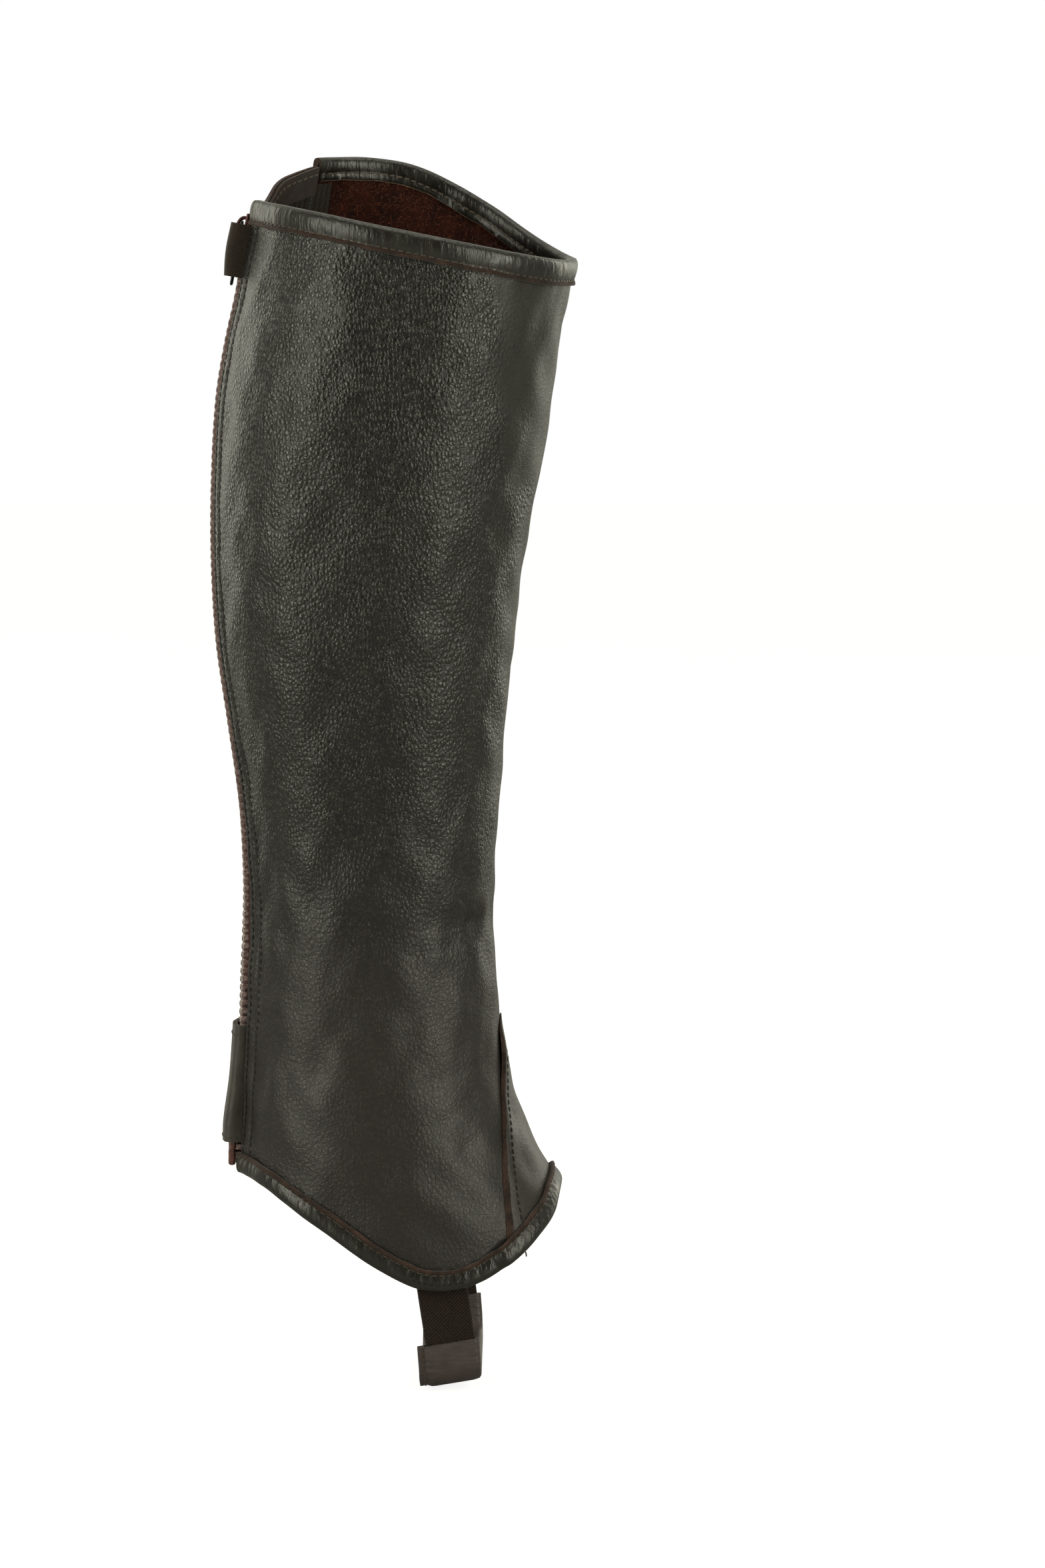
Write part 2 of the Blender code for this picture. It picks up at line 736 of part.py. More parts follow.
def make_zip_pull(material):
    corner = PULL_CORNER
    bottom = -PULL_LENGTH
    centres = ((PULL_HALF - corner, -corner, 0), (-PULL_HALF + corner, -corner, 90),
               (-PULL_HALF + corner, bottom + corner, 180), (PULL_HALF - corner, bottom + corner, 270))
    curve = bpy.data.curves.new("zip_pull_wire", "CURVE")
    curve.dimensions = "3D"
    curve.bevel_depth = PULL_WIRE * MM
    curve.bevel_resolution = 2
    spline = curve.splines.new("POLY")
    path = []
    for y, z, start in centres:
        for turn in spaced(start, start + 90, 3):
            angle = math.radians(turn)
            path.append((0, y + corner * math.cos(angle), z + corner * math.sin(angle)))
    spline.points.add(len(path) - 1)
    for point, spot in zip(spline.points, path):
        point.co = (*(Vector(spot) * MM), 1)
    spline.use_cyclic_u = True
    wire = bpy.data.objects.new("zip_pull_wire", curve)
    parts.objects.link(wire)
    bpy.context.view_layer.update()
    mesh = bpy.data.meshes.new_from_object(wire.evaluated_get(bpy.context.evaluated_depsgraph_get()))
    face_outward(mesh, weld=0.01)
    bpy.data.objects.remove(wire)
    mesh.materials.clear()
    pull = add_object("zip_pull", mesh, material)
    place(pull, pull_frame())
    return pull


def make_zip_box(material):
    middle = (BOX_SPAN[0] + BOX_SPAN[1]) / 2
    half = (BOX_SPAN[1] - BOX_SPAN[0]) / 2
    inner_face = CHAIN_FACES[1] + CLEARANCE
    low = (inner_face, -BOX_HALF, -half)
    high = (inner_face + BOX_DEPTH, BOX_HALF, half)
    box = block("zip_box", low, high, material, BOX_ROUNDING, 2)
    place(box, zip_frame(middle))
    return box


# Tabs across the zip

def tab_path(peak, rest):
    """Outer face of a tab as (across, out): under the leather, up over the zip, down on the elastic."""
    root = -LEATHER - GAP
    wall = -ZIP_EDGE + 0.7
    return (
        (-TAB_ROOT, root), (-12.0, root), (-8.9, root), (wall - 0.55, root + 0.15), (wall - 0.1, root + 0.9),
        (wall, 0), (wall + 0.15, 0.36 * peak), (wall + 0.6, 0.68 * peak), (wall + 1.8, 0.92 * peak),
        (-3.0, peak), (0, 1.02 * peak), (3.0, peak), (6.0, mix(rest, peak, 0.8)),
        (9.2, mix(rest, peak, 0.36)), (12.4, mix(rest, peak, 0.06)), (16.0, rest), (20.5, rest),
        (TAB_END, rest),
    )


def make_tab(name, span, thickness, peaks, steps, material):
    """A tab whose height over the zip changes between its lower and its upper edge."""
    rest = GAP + thickness
    rows = []
    for height in spaced(*span, steps):
        peak = curve_value(peaks, height)
        path = reversed(tab_path(peak, rest))
        rows.append([zip_point(across, height, out) for across, out in path])
    return sheet(name, rows, thickness, material)


def make_snap(name, height, face, material):
    """A domed snap cap on the outer end of a tab."""
    angle = zip_angle(SNAP_AT, height)
    point, out, up = leg_frame(angle, height)
    mesh = bpy.data.meshes.new(name)
    shape = bmesh.new()
    spots = [shape.verts.new((radius * MM, 0, rise * MM)) for radius, rise in reversed(SNAP_PROFILE)]
    for first, second in zip(spots, spots[1:]):
        shape.edges.new((first, second))
    shape.to_mesh(mesh)
    shape.free()
    snap = add_object(name, mesh, material)
    turn = snap.modifiers.new("Turn", "SCREW")
    turn.steps = SNAP_SIDES
    turn.render_steps = SNAP_SIDES
    turn.use_merge_vertices = True
    turn.merge_threshold = 0.00001
    frame = Matrix((up, out.cross(up), out)).transposed().to_4x4()
    frame.translation = point + out * (face + CLEARANCE)
    place(snap, frame)
    return snap


# The strap under the boot

def strap_line():
    """Middle of the strap's inner-side half, from the hem to the middle of the sole."""
    sole_side = STRAP_SIDE - STRAP_TUCK
    corner_top = STRAP_LOW + STRAP_CORNER
    line = [(-STRAP_SIDE, height) for height in spaced(STRAP_TOP, STRAP_BENDS_IN, 3)]
    for height in spaced(STRAP_BENDS_IN, SLEEVE_START, 4)[1:]:
        line.append((-STRAP_SIDE + STRAP_TUCK * blend(STRAP_BENDS_IN, corner_top, height), height))
    for turn in spaced(0, 90, 6):
        angle = math.radians(turn)
        line.append((-sole_side + STRAP_CORNER * (1 - math.cos(angle)),
                     corner_top - STRAP_CORNER * math.sin(angle)))
    line += [(across, STRAP_LOW) for across in spaced(-sole_side + STRAP_CORNER, 0, 4)[1:]]
    return line


def strap_frames():
    """Points down the strap's middle and back up, each with the way across it and the way out of the loop."""
    half = strap_line()
    line = half + [(-across, height) for across, height in reversed(half[:-1])]
    points = [Vector((curve_value(STRAP_FORWARD, height), across, height)) for across, height in line]
    lean = math.radians(STRAP_LEAN)
    frames = []
    for i, point in enumerate(points):
        along = (points[min(i + 1, len(points) - 1)] - points[max(i - 1, 0)]).normalized()
        # Beside the hem the strap turns a little to lie along the leg's side
        turn = -math.copysign(STRAP_TURN, point.y) * blend(STRAP_TURNS_FROM, STRAP_BENDS_IN, point.z)
        wide = Vector((math.cos(lean), turn, math.sin(lean))).normalized()
        frames.append((point, wide, wide.cross(along).normalized()))
    return frames


def strap_section(frame, corners):
    point, wide, out = frame
    return [point + wide * across + out * away for across, away in corners]


def make_understrap(material):
    half = STRAP_WIDTH / 2
    corners = ((-half, -STRAP / 2), (half, -STRAP / 2), (half, STRAP / 2), (-half, STRAP / 2))
    return loft("understrap", [strap_section(frame, corners) for frame in strap_frames()], material)


def mirrored(half_ring):
    """A closed ring from its half below the middle line, as (across, away)."""
    return half_ring + [(across, -away) for across, away in reversed(half_ring)]


def make_strap_sleeve(material):
    half = STRAP_WIDTH / 2
    back = -half - SLEEVE_SEAM
    room = STRAP / 2 + CLEARANCE
    outside = mirrored([(back, -SLEEVE + 0.1), (back + 2.2, -SLEEVE - 0.1), (-half + 0.2, -room - SLEEVE),
                        (half - 0.6, -room - SLEEVE), (half + 1.2, -1.4), (half + CLEARANCE + SLEEVE, -0.4)])
    inside = mirrored([(-half - 1.2, -0.15), (-half - 1.0, -0.3), (-half - 0.2, -room),
                       (half - 0.1, -room), (half + 0.3, -0.8), (half + CLEARANCE, -0.3)])
    rings = []
    for frame in strap_frames():
        if frame[0].z < SLEEVE_START + 0.1:
            rings.append(strap_section(frame, outside) + strap_section(frame, inside))
    return tube("strap_sleeve", rings, material)


# The whole chap

for old in list(bpy.data.objects):
    bpy.data.objects.remove(old)

parts = bpy.data.collections.new("half_chap")
cutters = bpy.data.collections.new("half_chap_cutters")
bpy.context.scene.collection.children.link(parts)
bpy.context.scene.collection.children.link(cutters)

leather = make_material("leather", (0.045, 0.038, 0.030), 0.5)
gusset_leather = make_material("gusset_leather", (0.045, 0.038, 0.030), 0.5)
binding_leather = make_material("binding_leather", (0.05, 0.042, 0.033), 0.5)
hem_leather = make_material("hem_leather", (0.05, 0.042, 0.033), 0.5)
facing_leather = make_material("facing_leather", (0.05, 0.038, 0.032), 0.6)
tab_leather = make_material("tab_leather", (0.05, 0.042, 0.033), 0.5)
sleeve_leather = make_material("sleeve_leather", (0.07, 0.045, 0.045), 0.5)
panel_elastic = make_material("panel_elastic", (0.035, 0.025, 0.02), 0.9)
tab_elastic = make_material("tab_elastic", (0.045, 0.03, 0.022), 0.9)
strap_elastic = make_material("strap_elastic", (0.04, 0.028, 0.02), 0.9)
tape_cloth = make_material("tape_cloth", (0.08, 0.02, 0.018), 0.85)
outer_tape_cloth = make_material("outer_tape_cloth", (0.08, 0.02, 0.018), 0.85)
teeth = make_material("teeth", (0.12, 0.06, 0.055), 0.35)
box_plastic = make_material("box_plastic", (0.14, 0.035, 0.03), 0.3)
slider_metal = make_material("slider_metal", (0.03, 0.025, 0.025), 0.35, 1)
pull_metal = make_material("pull_metal", (0.02, 0.02, 0.02), 0.35, 1)
snap_metal = make_material("snap_metal", (0.05, 0.04, 0.035), 0.35, 1)
bottom_snap_metal = make_material("bottom_snap_metal", (0.05, 0.04, 0.035), 0.35, 1)

make_main_panel(leather)
make_front_gusset(gusset_leather)
make_side_elastic(panel_elastic)
make_elastic_facing(facing_leather)
make_top_binding(binding_leather)
make_hem_binding(hem_leather)
make_zip_tape("zip_tape_inner", -1, tape_cloth)
make_zip_tape("zip_tape_outer", 1, outer_tape_cloth)
make_zip_chain(teeth)
make_zip_slider(slider_metal)
make_zip_pull(pull_metal)
make_zip_box(box_plastic)
make_tab("top_tab", TOP_TAB_SPAN, TOP_TAB, TOP_TAB_PEAKS, 5, tab_elastic)
make_tab("bottom_tab", BOTTOM_TAB_SPAN, BOTTOM_TAB, BOTTOM_TAB_PEAKS, 8, tab_leather)
make_snap("top_tab_snap", sum(TOP_TAB_SPAN) / 2, GAP + TOP_TAB, snap_metal)
make_snap("bottom_tab_snap", sum(BOTTOM_TAB_SPAN) / 2, GAP + BOTTOM_TAB, bottom_snap_metal)
make_understrap(strap_elastic)
make_strap_sleeve(sleeve_leather)
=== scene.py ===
# The half chap's looks: fine leather, elastic, zip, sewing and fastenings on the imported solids.
# +X is forward, -Y the inner side of the leg, +Y its outer side and +Z up.
# Shapes are worked out in millimetres and become metres where a mesh is made.

import math
from collections import namedtuple

import bmesh
import bpy
import numpy as np
from mathutils import Matrix, Vector


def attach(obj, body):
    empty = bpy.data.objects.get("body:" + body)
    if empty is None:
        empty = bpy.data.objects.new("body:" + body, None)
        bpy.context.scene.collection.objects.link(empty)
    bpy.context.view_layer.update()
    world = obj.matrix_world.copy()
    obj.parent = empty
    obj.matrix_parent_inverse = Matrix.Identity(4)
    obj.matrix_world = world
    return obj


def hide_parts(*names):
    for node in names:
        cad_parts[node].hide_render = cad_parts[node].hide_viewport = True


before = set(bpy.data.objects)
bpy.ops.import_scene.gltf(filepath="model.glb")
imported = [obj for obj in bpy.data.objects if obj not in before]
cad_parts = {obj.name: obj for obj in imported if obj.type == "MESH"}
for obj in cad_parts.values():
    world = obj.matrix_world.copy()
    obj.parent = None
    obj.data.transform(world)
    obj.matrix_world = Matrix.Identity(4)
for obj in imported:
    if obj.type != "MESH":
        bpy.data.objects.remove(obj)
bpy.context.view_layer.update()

MM = 0.001
CHAP = "chap"
PULL = "pull"

# The photograph's camera: it looks along +Y, tilted down, and its picture is 1568 x 2352
CAMERA_AT = (54.61, -1736.96, 60.17)
CAMERA_TILT = 7.0
CAMERA_LENS = 100.45
SENSOR_HEIGHT = 36.0

# Thicknesses and gaps of the sewn cloth
LEATHER = 1.8
ELASTIC = 1.6
TAPE = 1.0
FACING = 1.2
GAP = 0.6
TOUCH = 0.12

# The leg-shaped tube: where its back and front lie and half its width, from the bottom up
Section = namedtuple("Section", "height back front half_width")
SECTIONS = (
    Section(-352, -62.4, 84.0, 46.4),
    Section(-330, -62.0, 75.5, 46.2),
    Section(-314, -60.8, 66.2, 45.8),
    Section(-301, -60.2, 58.8, 45.2),
    Section(-279, -59.4, 49.7, 43.8),
    Section(-257, -58.7, 46.0, 42.2),
    Section(-235, -58.0, 44.6, 41.5),
    Section(-213, -57.0, 43.0, 41.5),
    Section(-192, -56.5, 43.4, 42.5),
    Section(-160, -58.1, 45.3, 45.0),
    Section(-127, -62.4, 48.2, 48.5),
    Section(-95, -66.7, 51.4, 52.0),
    Section(-63, -68.3, 55.1, 55.0),
    Section(-32, -68.0, 61.0, 57.0),
    Section(0, -66.0, 66.2, 58.0),
    Section(21, -62.6, 69.1, 58.0),
    Section(42, -57.9, 72.6, 57.6),
    Section(55, -55.5, 74.8, 57.2),
    Section(78, -50.3, 77.0, 56.6),
    Section(100, -45.5, 78.6, 56.0),
)
SQUARENESS = 2.15

# Soft folds in the leather: where, how far each way, and how deep
Fold = namedtuple("Fold", "angle height half_angle half_height depth")
FOLDS = (
    Fold(-38, -206, 46, 11, 1.3),
    Fold(30, -212, 40, 12, 1.1),
    Fold(-95, -150, 26, 70, 0.7),
    Fold(-84, 10, 18, 75, 0.8),
    Fold(88, -60, 22, 80, 0.7),
)

# Broad dents where the leather lies slack, and bulges where it is full, that the solids leave out
DENTS = (
    Fold(-101, -55, 22, 50, 1.9),
    Fold(-91, 34, 18, 36, 1.3),
    Fold(-114, 2, 12, 26, -0.75),
    Fold(-97, -116, 19, 34, 1.4),
    Fold(-95, -168, 15, 26, 0.8),
    Fold(-66, -60, 13, 70, -0.75),
    Fold(-71, 30, 12, 26, -0.55),
    Fold(-128, -36, 13, 46, -0.35),
    Fold(-120, -262, 20, 24, 0.6),
    Fold(-88, -286, 18, 22, 0.45),
    Fold(-46, -300, 16, 20, 0.45),
    Fold(-30, -40, 15, 52, 0.3),
    Fold(4, -104, 20, 60, 0.35),
    Fold(18, -182, 24, 16, 0.7),
    Fold(40, -58, 16, 52, 0.4),
    Fold(70, 22, 22, 40, 0.9),
    Fold(104, -20, 18, 52, 0.7),
    Fold(62, -112, 20, 46, 0.8),
    Fold(95, -170, 22, 30, 0.8),
    Fold(84, -92, 12, 40, -0.4),
    Fold(100, -262, 22, 26, 0.55),
    Fold(58, -300, 20, 18, 0.45),
)

# Slight waves all over it: wavelength across and up, in millimetres, a start and a height
Wave = namedtuple("Wave", "across up start height")
WAVES = (
    Wave(19, 47, 0.3, 0.12),
    Wave(-27, 33, 2.1, 0.15),
    Wave(15, -61, 4.4, 0.08),
    Wave(41, 23, 1.2, 0.14),
    Wave(-33, 71, 5.6, 0.18),
    Wave(23, 29, 3.7, 0.10),
    Wave(-14, 26, 0.9, 0.06),
)
WAVE_RADIUS = 52
WAVES_END = 172
WAVES_FADE = 14

# Beside the zip the leather turns in from its sewn edge: how far, and how far from the edge
EDGE_TURN = 2.3
EDGE_TURN_AT = 13.0
EDGE_TURN_RADIUS = 56

# Finer creases: middle, half length and half width in millimetres, turn from level, and depth
Crease = namedtuple("Crease", "angle height half_length half_width turn depth")
CREASES = (
    Crease(-52, -214, 26, 3.0, 4, 0.40),
    Crease(-30, -203, 20, 2.4, -6, 0.35),
    Crease(-66, -268, 24, 2.6, 24, 0.28),
    Crease(-58, -281, 27, 2.8, 28, 0.30),
    Crease(-50, -292, 22, 2.4, 30, 0.25),
    Crease(-72, -296, 18, 2.2, 22, 0.20),
    Crease(-40, -262, 16, 2.2, 16, 0.24),
    Crease(-78, -250, 20, 3.0, 12, 0.18),
    Crease(-140, -243, 12, 3.4, 8, 0.35),
    Crease(-128, -58, 30, 6.0, 80, 0.25),
    Crease(38, -209, 24, 2.8, -5, 0.38),
    Crease(60, -221, 20, 2.6, 8, 0.30),
    Crease(66, -272, 26, 2.8, -24, 0.28),
    Crease(54, -286, 24, 2.6, -28, 0.26),
    Crease(82, -258, 20, 3.0, -14, 0.22),
    Crease(112, -196, 18, 3.0, 6, 0.28),
)
CREASE_BOW = 1.2

# Edges of the tube by side, each as (distance forward, height)
INNER_TOP = ((-52, 79.0), (-23, 73.2), (2, 68.0), (28, 62.8), (48, 58.8), (60, 56.6), (70, 55.2), (80, 55.0))
OUTER_TOP = ((-40, 94.6), (-31, 95.6), (-22, 96.2), (-10, 96.2), (2, 95.0), (12, 92.6), (22, 88.5),
             (42, 77.2), (54, 68.8), (62, 63.3), (70, 58.6), (75, 56.2), (80, 55.0))
ELASTIC_TOP = ((-52, 72.5), (-47.8, 78.5), (-44, 85.2), (-38, 89.6), (-32, 92.2), (-26, 93.4))
HEM = ((-64, -309.4), (-60.5, -309.2), (-56.6, -309.4), (-47.8, -311.8), (-40.6, -316.0), (-23.7, -326.9),
       (-7, -338.4), (5.6, -345.4), (14, -348.8), (23, -349.8), (31, -348.9), (38.5, -346.4),
       (45.2, -342.8), (51.2, -338.6), (59.6, -331.0), (65.8, -323.5), (68.2, -316.2), (72, -306.0))
FRONT_BLEND = (-8, 8)
TOP_LIMITS = (50, 99)
HEM_LIMITS = (-351.5, -300)

# The front gusset: half its width at each height, and how far it laps over the notch below it
GUSSET = ((-345, 40.0), (-330, 38.2), (-314, 34.2), (-302, 29.5), (-291, 24.5), (-280, 18.5),
          (-268, 12.8), (-258, 9.8), (-251, 6.2), (-246, 1.0))
GUSSET_TOP = -246
GUSSET_LAP = 8
GUSSET_LIFT = 0.8
GUSSET_LIFTS_AT = (-247, -258, -276)
GUSSET_SLANT = 0.9
GUSSET_AT_HEM = -336

# Seam of the leather and the elastic, and where the elastic comes out level with the leather
SEAM_ANGLE = 134
SEAM_LAP_ANGLE = 8
SEAM_RADIUS = 53.0
ELASTIC_RISES = (140, 154)
FACING_HEIGHT = 11

# Folded bindings: reach of the outer and inner leaf, the outer row of stitches and the outer edge's flare
EDGE_INSET = 2.3
LEAF = 1.4
Binding = namedtuple("Binding", "outer inner stitch_row flare")
TOP_BINDING = Binding(9.9, 9.2, 8.1, 0.45)
HEM_BINDING = Binding(8.6, 8.0, 6.9, 0.45)
INNER_ROW = 6.2
HEM_BACK = -303
BINDING_STEP = 0.85

# How far the rows of stitches press a binding's outer and inner leaf in, as a share of its thickness
OUTER_ROW_LEFT = 0.76
INNER_ROW_LEFT = 0.85

# Sewing
STITCH_PITCH = 3.0
STITCH_LENGTH = 2.2
STITCH_RADIUS = 0.3
STITCH_SLANT = 0.1
STITCH_WIDTH = 1.15
SEAM_ROWS = (1.5, 6.2)
GROOVE = 0.32
GROOVE_HALF = 0.9

# The zip
ZIP_LINE = ((-310, -3.0), (-280, -4.5), (-235, -7.0), (-190, -6.0), (-140, -3.0), (-60, -2.0),
            (30, -2.0), (80, -3.5))
ZIP_EDGE = 7.8
TAPE_HALF = 16.5
CHAIN_SPAN = (-304, 65.4)
CHAIN_FACES = (-2.0, 0.5)
TOOTH_PITCH = 3.3
TAPE_SPAN = (-298, 66)
TAPE_STUB_TOP = 78
TapeSpot = namedtuple("TapeSpot", "across rise rise_at_tab")
TAPE_SPOTS = (
    TapeSpot(TAPE_HALF, 0, 0),
    TapeSpot(12.0, 0, 0),
    TapeSpot(7.4, 0, 0),
    TapeSpot(6.6, 0.08, 0),
    TapeSpot(5.5, 0.42, 0.11),
    TapeSpot(4.4, 0.79, 0.62),
    TapeSpot(3.6, 0.88, 0.71),
)
SLIDER_HEIGHT = 66
CLEARANCE = 0.35
PLATE = 1.4
PULL_WIRE = 0.6
PULL_AXIS = (3.4, 3.2)
PULL_LENGTH = 24.6
PULL_HALF = 2.6
PULL_CORNER = 1.6
PULL_LEAN = 2.5
BOX_SPAN = (-307, -291)
BOX_HALF = 4.2
BOX_DEPTH = 3.0
BOX_RIBS = (-3.4, 0.4, 4.2)

# The slider's plates, as half their width and length, its flanges and its bail
OUTER_PLATE = (3.8, 7)
INNER_PLATE = (3.1, 7)
FLANGE_AT = 3.45
FLANGE_HALF = 0.35
BAIL_WIRE = 0.75
BAIL_MIDDLE = 0.8
BAIL_HALF = 4.3
BAIL_RISE = 3.1

# Tabs across the zip: heights, thickness, and how far out they stand over the zip at each height
Tab = namedtuple("Tab", "span thickness peaks")
TOP_TAB = Tab((48, 68.2), 1.5, ((48, 6.2), (58, 7.35), (68, 7.45)))
BOTTOM_TAB = Tab((-296.8, -249), 2.0, ((-297, 6.3), (-289, 6.3), (-270, 4.4), (-249, 3.5)))
TAB_ROOT = 15.6
TAB_END = 25
SNAP_AT = 18.5

# The strap under the boot and the sleeve round it
STRAP_WIDTH = 20
STRAP = 1.5
STRAP_TOP = -337.5
STRAP_BENDS_IN = -352
STRAP_LOW = -388.6
STRAP_SIDE = 40.0
STRAP_TUCK = 3.4
STRAP_CORNER = 8
STRAP_FORWARD = ((-388.6, 26.8), (-380, 26.5), (-372, 25.9), (-350, 22.8), (-337.5, 21.0))
STRAP_LEAN = 9.5
STRAP_TURN = 0.1
STRAP_TURNS_FROM = -375
STRAP_STEP = 1.5
SLEEVE = 1.3
SLEEVE_START = -372
SLEEVE_SEAM = 3.4

# The stitched rectangle over each end of the strap: its place, half angle and lowest line's distance in
STRAP_BOX_AHEAD = 21.5
STRAP_BOX_HEIGHT = -345.0
STRAP_BOX_HALF = 8.5
STRAP_BOX_LOW = 3.2

# Rows of points up each grid, and the angles in degrees above which edges are sharp
PANEL_ROWS = 184
GUSSET_ROWS = 60
ELASTIC_ROWS = 170
TAPE_ROWS = 180
CLOTH_SHARP = 48
SOLID_SHARP = 40


# Curves and the leg's surface, for whole arrays of angles and heights

class Curve:
    """A smooth curve through (position, value) pairs whose positions rise."""

    def __init__(self, points):
        self.at, self.value = np.array(points, float).T
        at, value = self.at, self.value
        self.slope = np.empty_like(value)
        self.slope[1:-1] = (value[2:] - value[:-2]) / (at[2:] - at[:-2])
        self.slope[0] = (value[1] - value[0]) / (at[1] - at[0])
        self.slope[-1] = (value[-1] - value[-2]) / (at[-1] - at[-2])

    def __call__(self, position):
        x = np.clip(np.asarray(position, float), self.at[0], self.at[-1])
        i = np.clip(np.searchsorted(self.at, x) - 1, 0, len(self.at) - 2)
        span = self.at[i + 1] - self.at[i]
        u = (x - self.at[i]) / span
        y0, y1 = self.value[i], self.value[i + 1]
        a, b = self.slope[i] * span, self.slope[i + 1] * span
        return y0 + u * (a + u * (3 * (y1 - y0) - 2 * a - b + u * (2 * (y0 - y1) + a + b)))


BACK = Curve([(s.height, s.back) for s in SECTIONS])
FRONT = Curve([(s.height, s.front) for s in SECTIONS])
HALF_WIDTH = Curve([(s.height, s.half_width) for s in SECTIONS])
INNER_EDGE = Curve(INNER_TOP)
OUTER_EDGE = Curve(OUTER_TOP)
ELASTIC_EDGE = Curve(ELASTIC_TOP)
HEM_EDGE = Curve(HEM)
GUSSET_HALF = Curve(GUSSET)
ZIP_OFFSET = Curve(ZIP_LINE)
STRAP_AHEAD = Curve(STRAP_FORWARD)


def blend(low, high, value):
    """Smooth step from 0 at low to 1 at high."""
    u = np.clip((value - low) / (high - low), 0, 1)
    return u * u * (3 - 2 * u)


def mix(first, second, share):
    return first + (second - first) * share


def spaced(start, stop, step):
    """Even steps of about this size from start to stop."""
    return np.linspace(start, stop, max(int(round(abs(stop - start) / step)), 1) + 1)


def signed_power(value):
    return np.copysign(np.abs(value) ** (2 / SQUARENESS), value)


def unit(vectors):
    return vectors / np.linalg.norm(vectors, axis=-1, keepdims=True)


def turn_from(middle, angle):
    """How far round an angle lies from a middle one, from -180 to 180."""
    return (angle - middle + 180) % 360 - 180


def bell(share):
    """1 in the middle, falling smoothly to 0 at 1 and -1."""
    return np.cos(np.clip(np.abs(share), 0, 1) * math.pi / 2) ** 2


def fold_depth(angle, height):
    """How deep the folds and creases press the face in."""
    total = np.zeros(np.broadcast(angle, height).shape)
    for fold in FOLDS + DENTS:
        across = turn_from(fold.angle, angle) / fold.half_angle
        total = total + fold.depth * bell(across) * bell((height - fold.height) / fold.half_height)
    for crease in CREASES:
        radius = (FRONT(crease.height) - BACK(crease.height)) / 4 + HALF_WIDTH(crease.height) / 2
        aside = np.radians(turn_from(crease.angle, angle)) * radius
        up = height - crease.height
        lean = math.radians(crease.turn)
        along = (aside * math.cos(lean) + up * math.sin(lean)) / crease.half_length
        bow = CREASE_BOW * along ** 2
        across = (up * math.cos(lean) - aside * math.sin(lean) + bow) / crease.half_width
        total = total + crease.depth * bell(along) * (1 - across ** 2) * np.exp(-across ** 2 / 1.5)
    turn = turn_from(0, angle)
    aside = np.radians(turn) * WAVE_RADIUS
    away = blend(0, WAVES_FADE, WAVES_END - np.abs(turn))
    for wave in WAVES:
        total = total + away * wave.height * np.sin(aside * 2 * math.pi / wave.across
                                                    + height * 2 * math.pi / wave.up + wave.start)
    from_edge = np.radians((angle - zip_angle(-ZIP_EDGE, height)) % 360) * EDGE_TURN_RADIUS / EDGE_TURN_AT
    return total + EDGE_TURN * from_edge * np.exp(1 - from_edge)


def leg_xyz(angle, height):
    """Points of the leather's outer face."""
    angle, height = np.broadcast_arrays(np.asarray(angle, float), np.asarray(height, float))
    back, front = BACK(height), FRONT(height)
    turn = np.radians(angle)
    x = (front - back) / 2 * signed_power(np.cos(turn))
    y = HALF_WIDTH(height) * signed_power(np.sin(turn))
    kept = 1 - fold_depth(angle, height) / np.hypot(x, y)
    return np.stack([x * kept + (front + back) / 2, y * kept, height], -1)


def leg_frame(angle, height):
    """Points of the leather's outer face, their outward normals, and the way up along it."""
    step = 0.5
    around = leg_xyz(angle + step, height) - leg_xyz(angle - step, height)
    up = leg_xyz(angle, height + step) - leg_xyz(angle, height - step)
    return leg_xyz(angle, height), unit(np.cross(around, up)), unit(up)


def leg_normals(angle, height):
    return leg_frame(angle, height)[1]


def leg_point(angle, height, out=0.0):
    point, normal, _ = leg_frame(angle, height)
    return point + normal * np.asarray(out, float)[..., None]


def back_angle(sideways, height):
    """Angle of the point at the back that lies this far to the side of the centre line."""
    share = np.clip(np.abs(sideways) / HALF_WIDTH(height), 0, 1)
    return 180 - np.degrees(np.arcsin(np.copysign(share ** (SQUARENESS / 2), sideways)))


def zip_angle(across, height):
    return back_angle(ZIP_OFFSET(height) + across, height)


def zip_point(across, height, out=0.0):
    return leg_point(zip_angle(across, height), height, out)


def zip_frame(height):
    """Matrix of the zip's line here: X out of the leg, Z up along the zip."""
    point, out, up = leg_frame(zip_angle(0.0, height), float(height))
    matrix = Matrix((out, np.cross(up, out), up)).transposed().to_4x4()
    matrix.translation = Vector(point)
    return matrix


def crossing(low, high, before):
    """Places in the span where before() turns from true to false, for arrays of spans."""
    low, high = np.array(low, float), np.array(high, float)
    for _ in range(30):
        middle = (low + high) / 2
        early = before(middle)
        low = np.where(early, middle, low)
        high = np.where(early, high, middle)
    return low


def edge_height(angle, edge, limits):
    angle = np.asarray(angle, float)
    low, high = np.full(angle.shape, limits[0]), np.full(angle.shape, limits[1])
    return crossing(low, high, lambda height: height < edge(leg_xyz(angle, height)[..., 0]))


def top_height(angle):
    inner = edge_height(angle, INNER_EDGE, TOP_LIMITS)
    outer = edge_height(angle, OUTER_EDGE, TOP_LIMITS)
    return mix(inner, outer, blend(*FRONT_BLEND, angle))


def hem_height(angle):
    return edge_height(angle, HEM_EDGE, HEM_LIMITS)


def inside_edge(edge, angle):
    """How far above or below an edge the cloth inside its binding ends, measured straight up."""
    step = 0.5
    along = leg_xyz(angle + step, edge(angle + step)) - leg_xyz(angle - step, edge(angle - step))
    return EDGE_INSET * np.linalg.norm(along, axis=-1) / np.linalg.norm(along[..., :2], axis=-1)


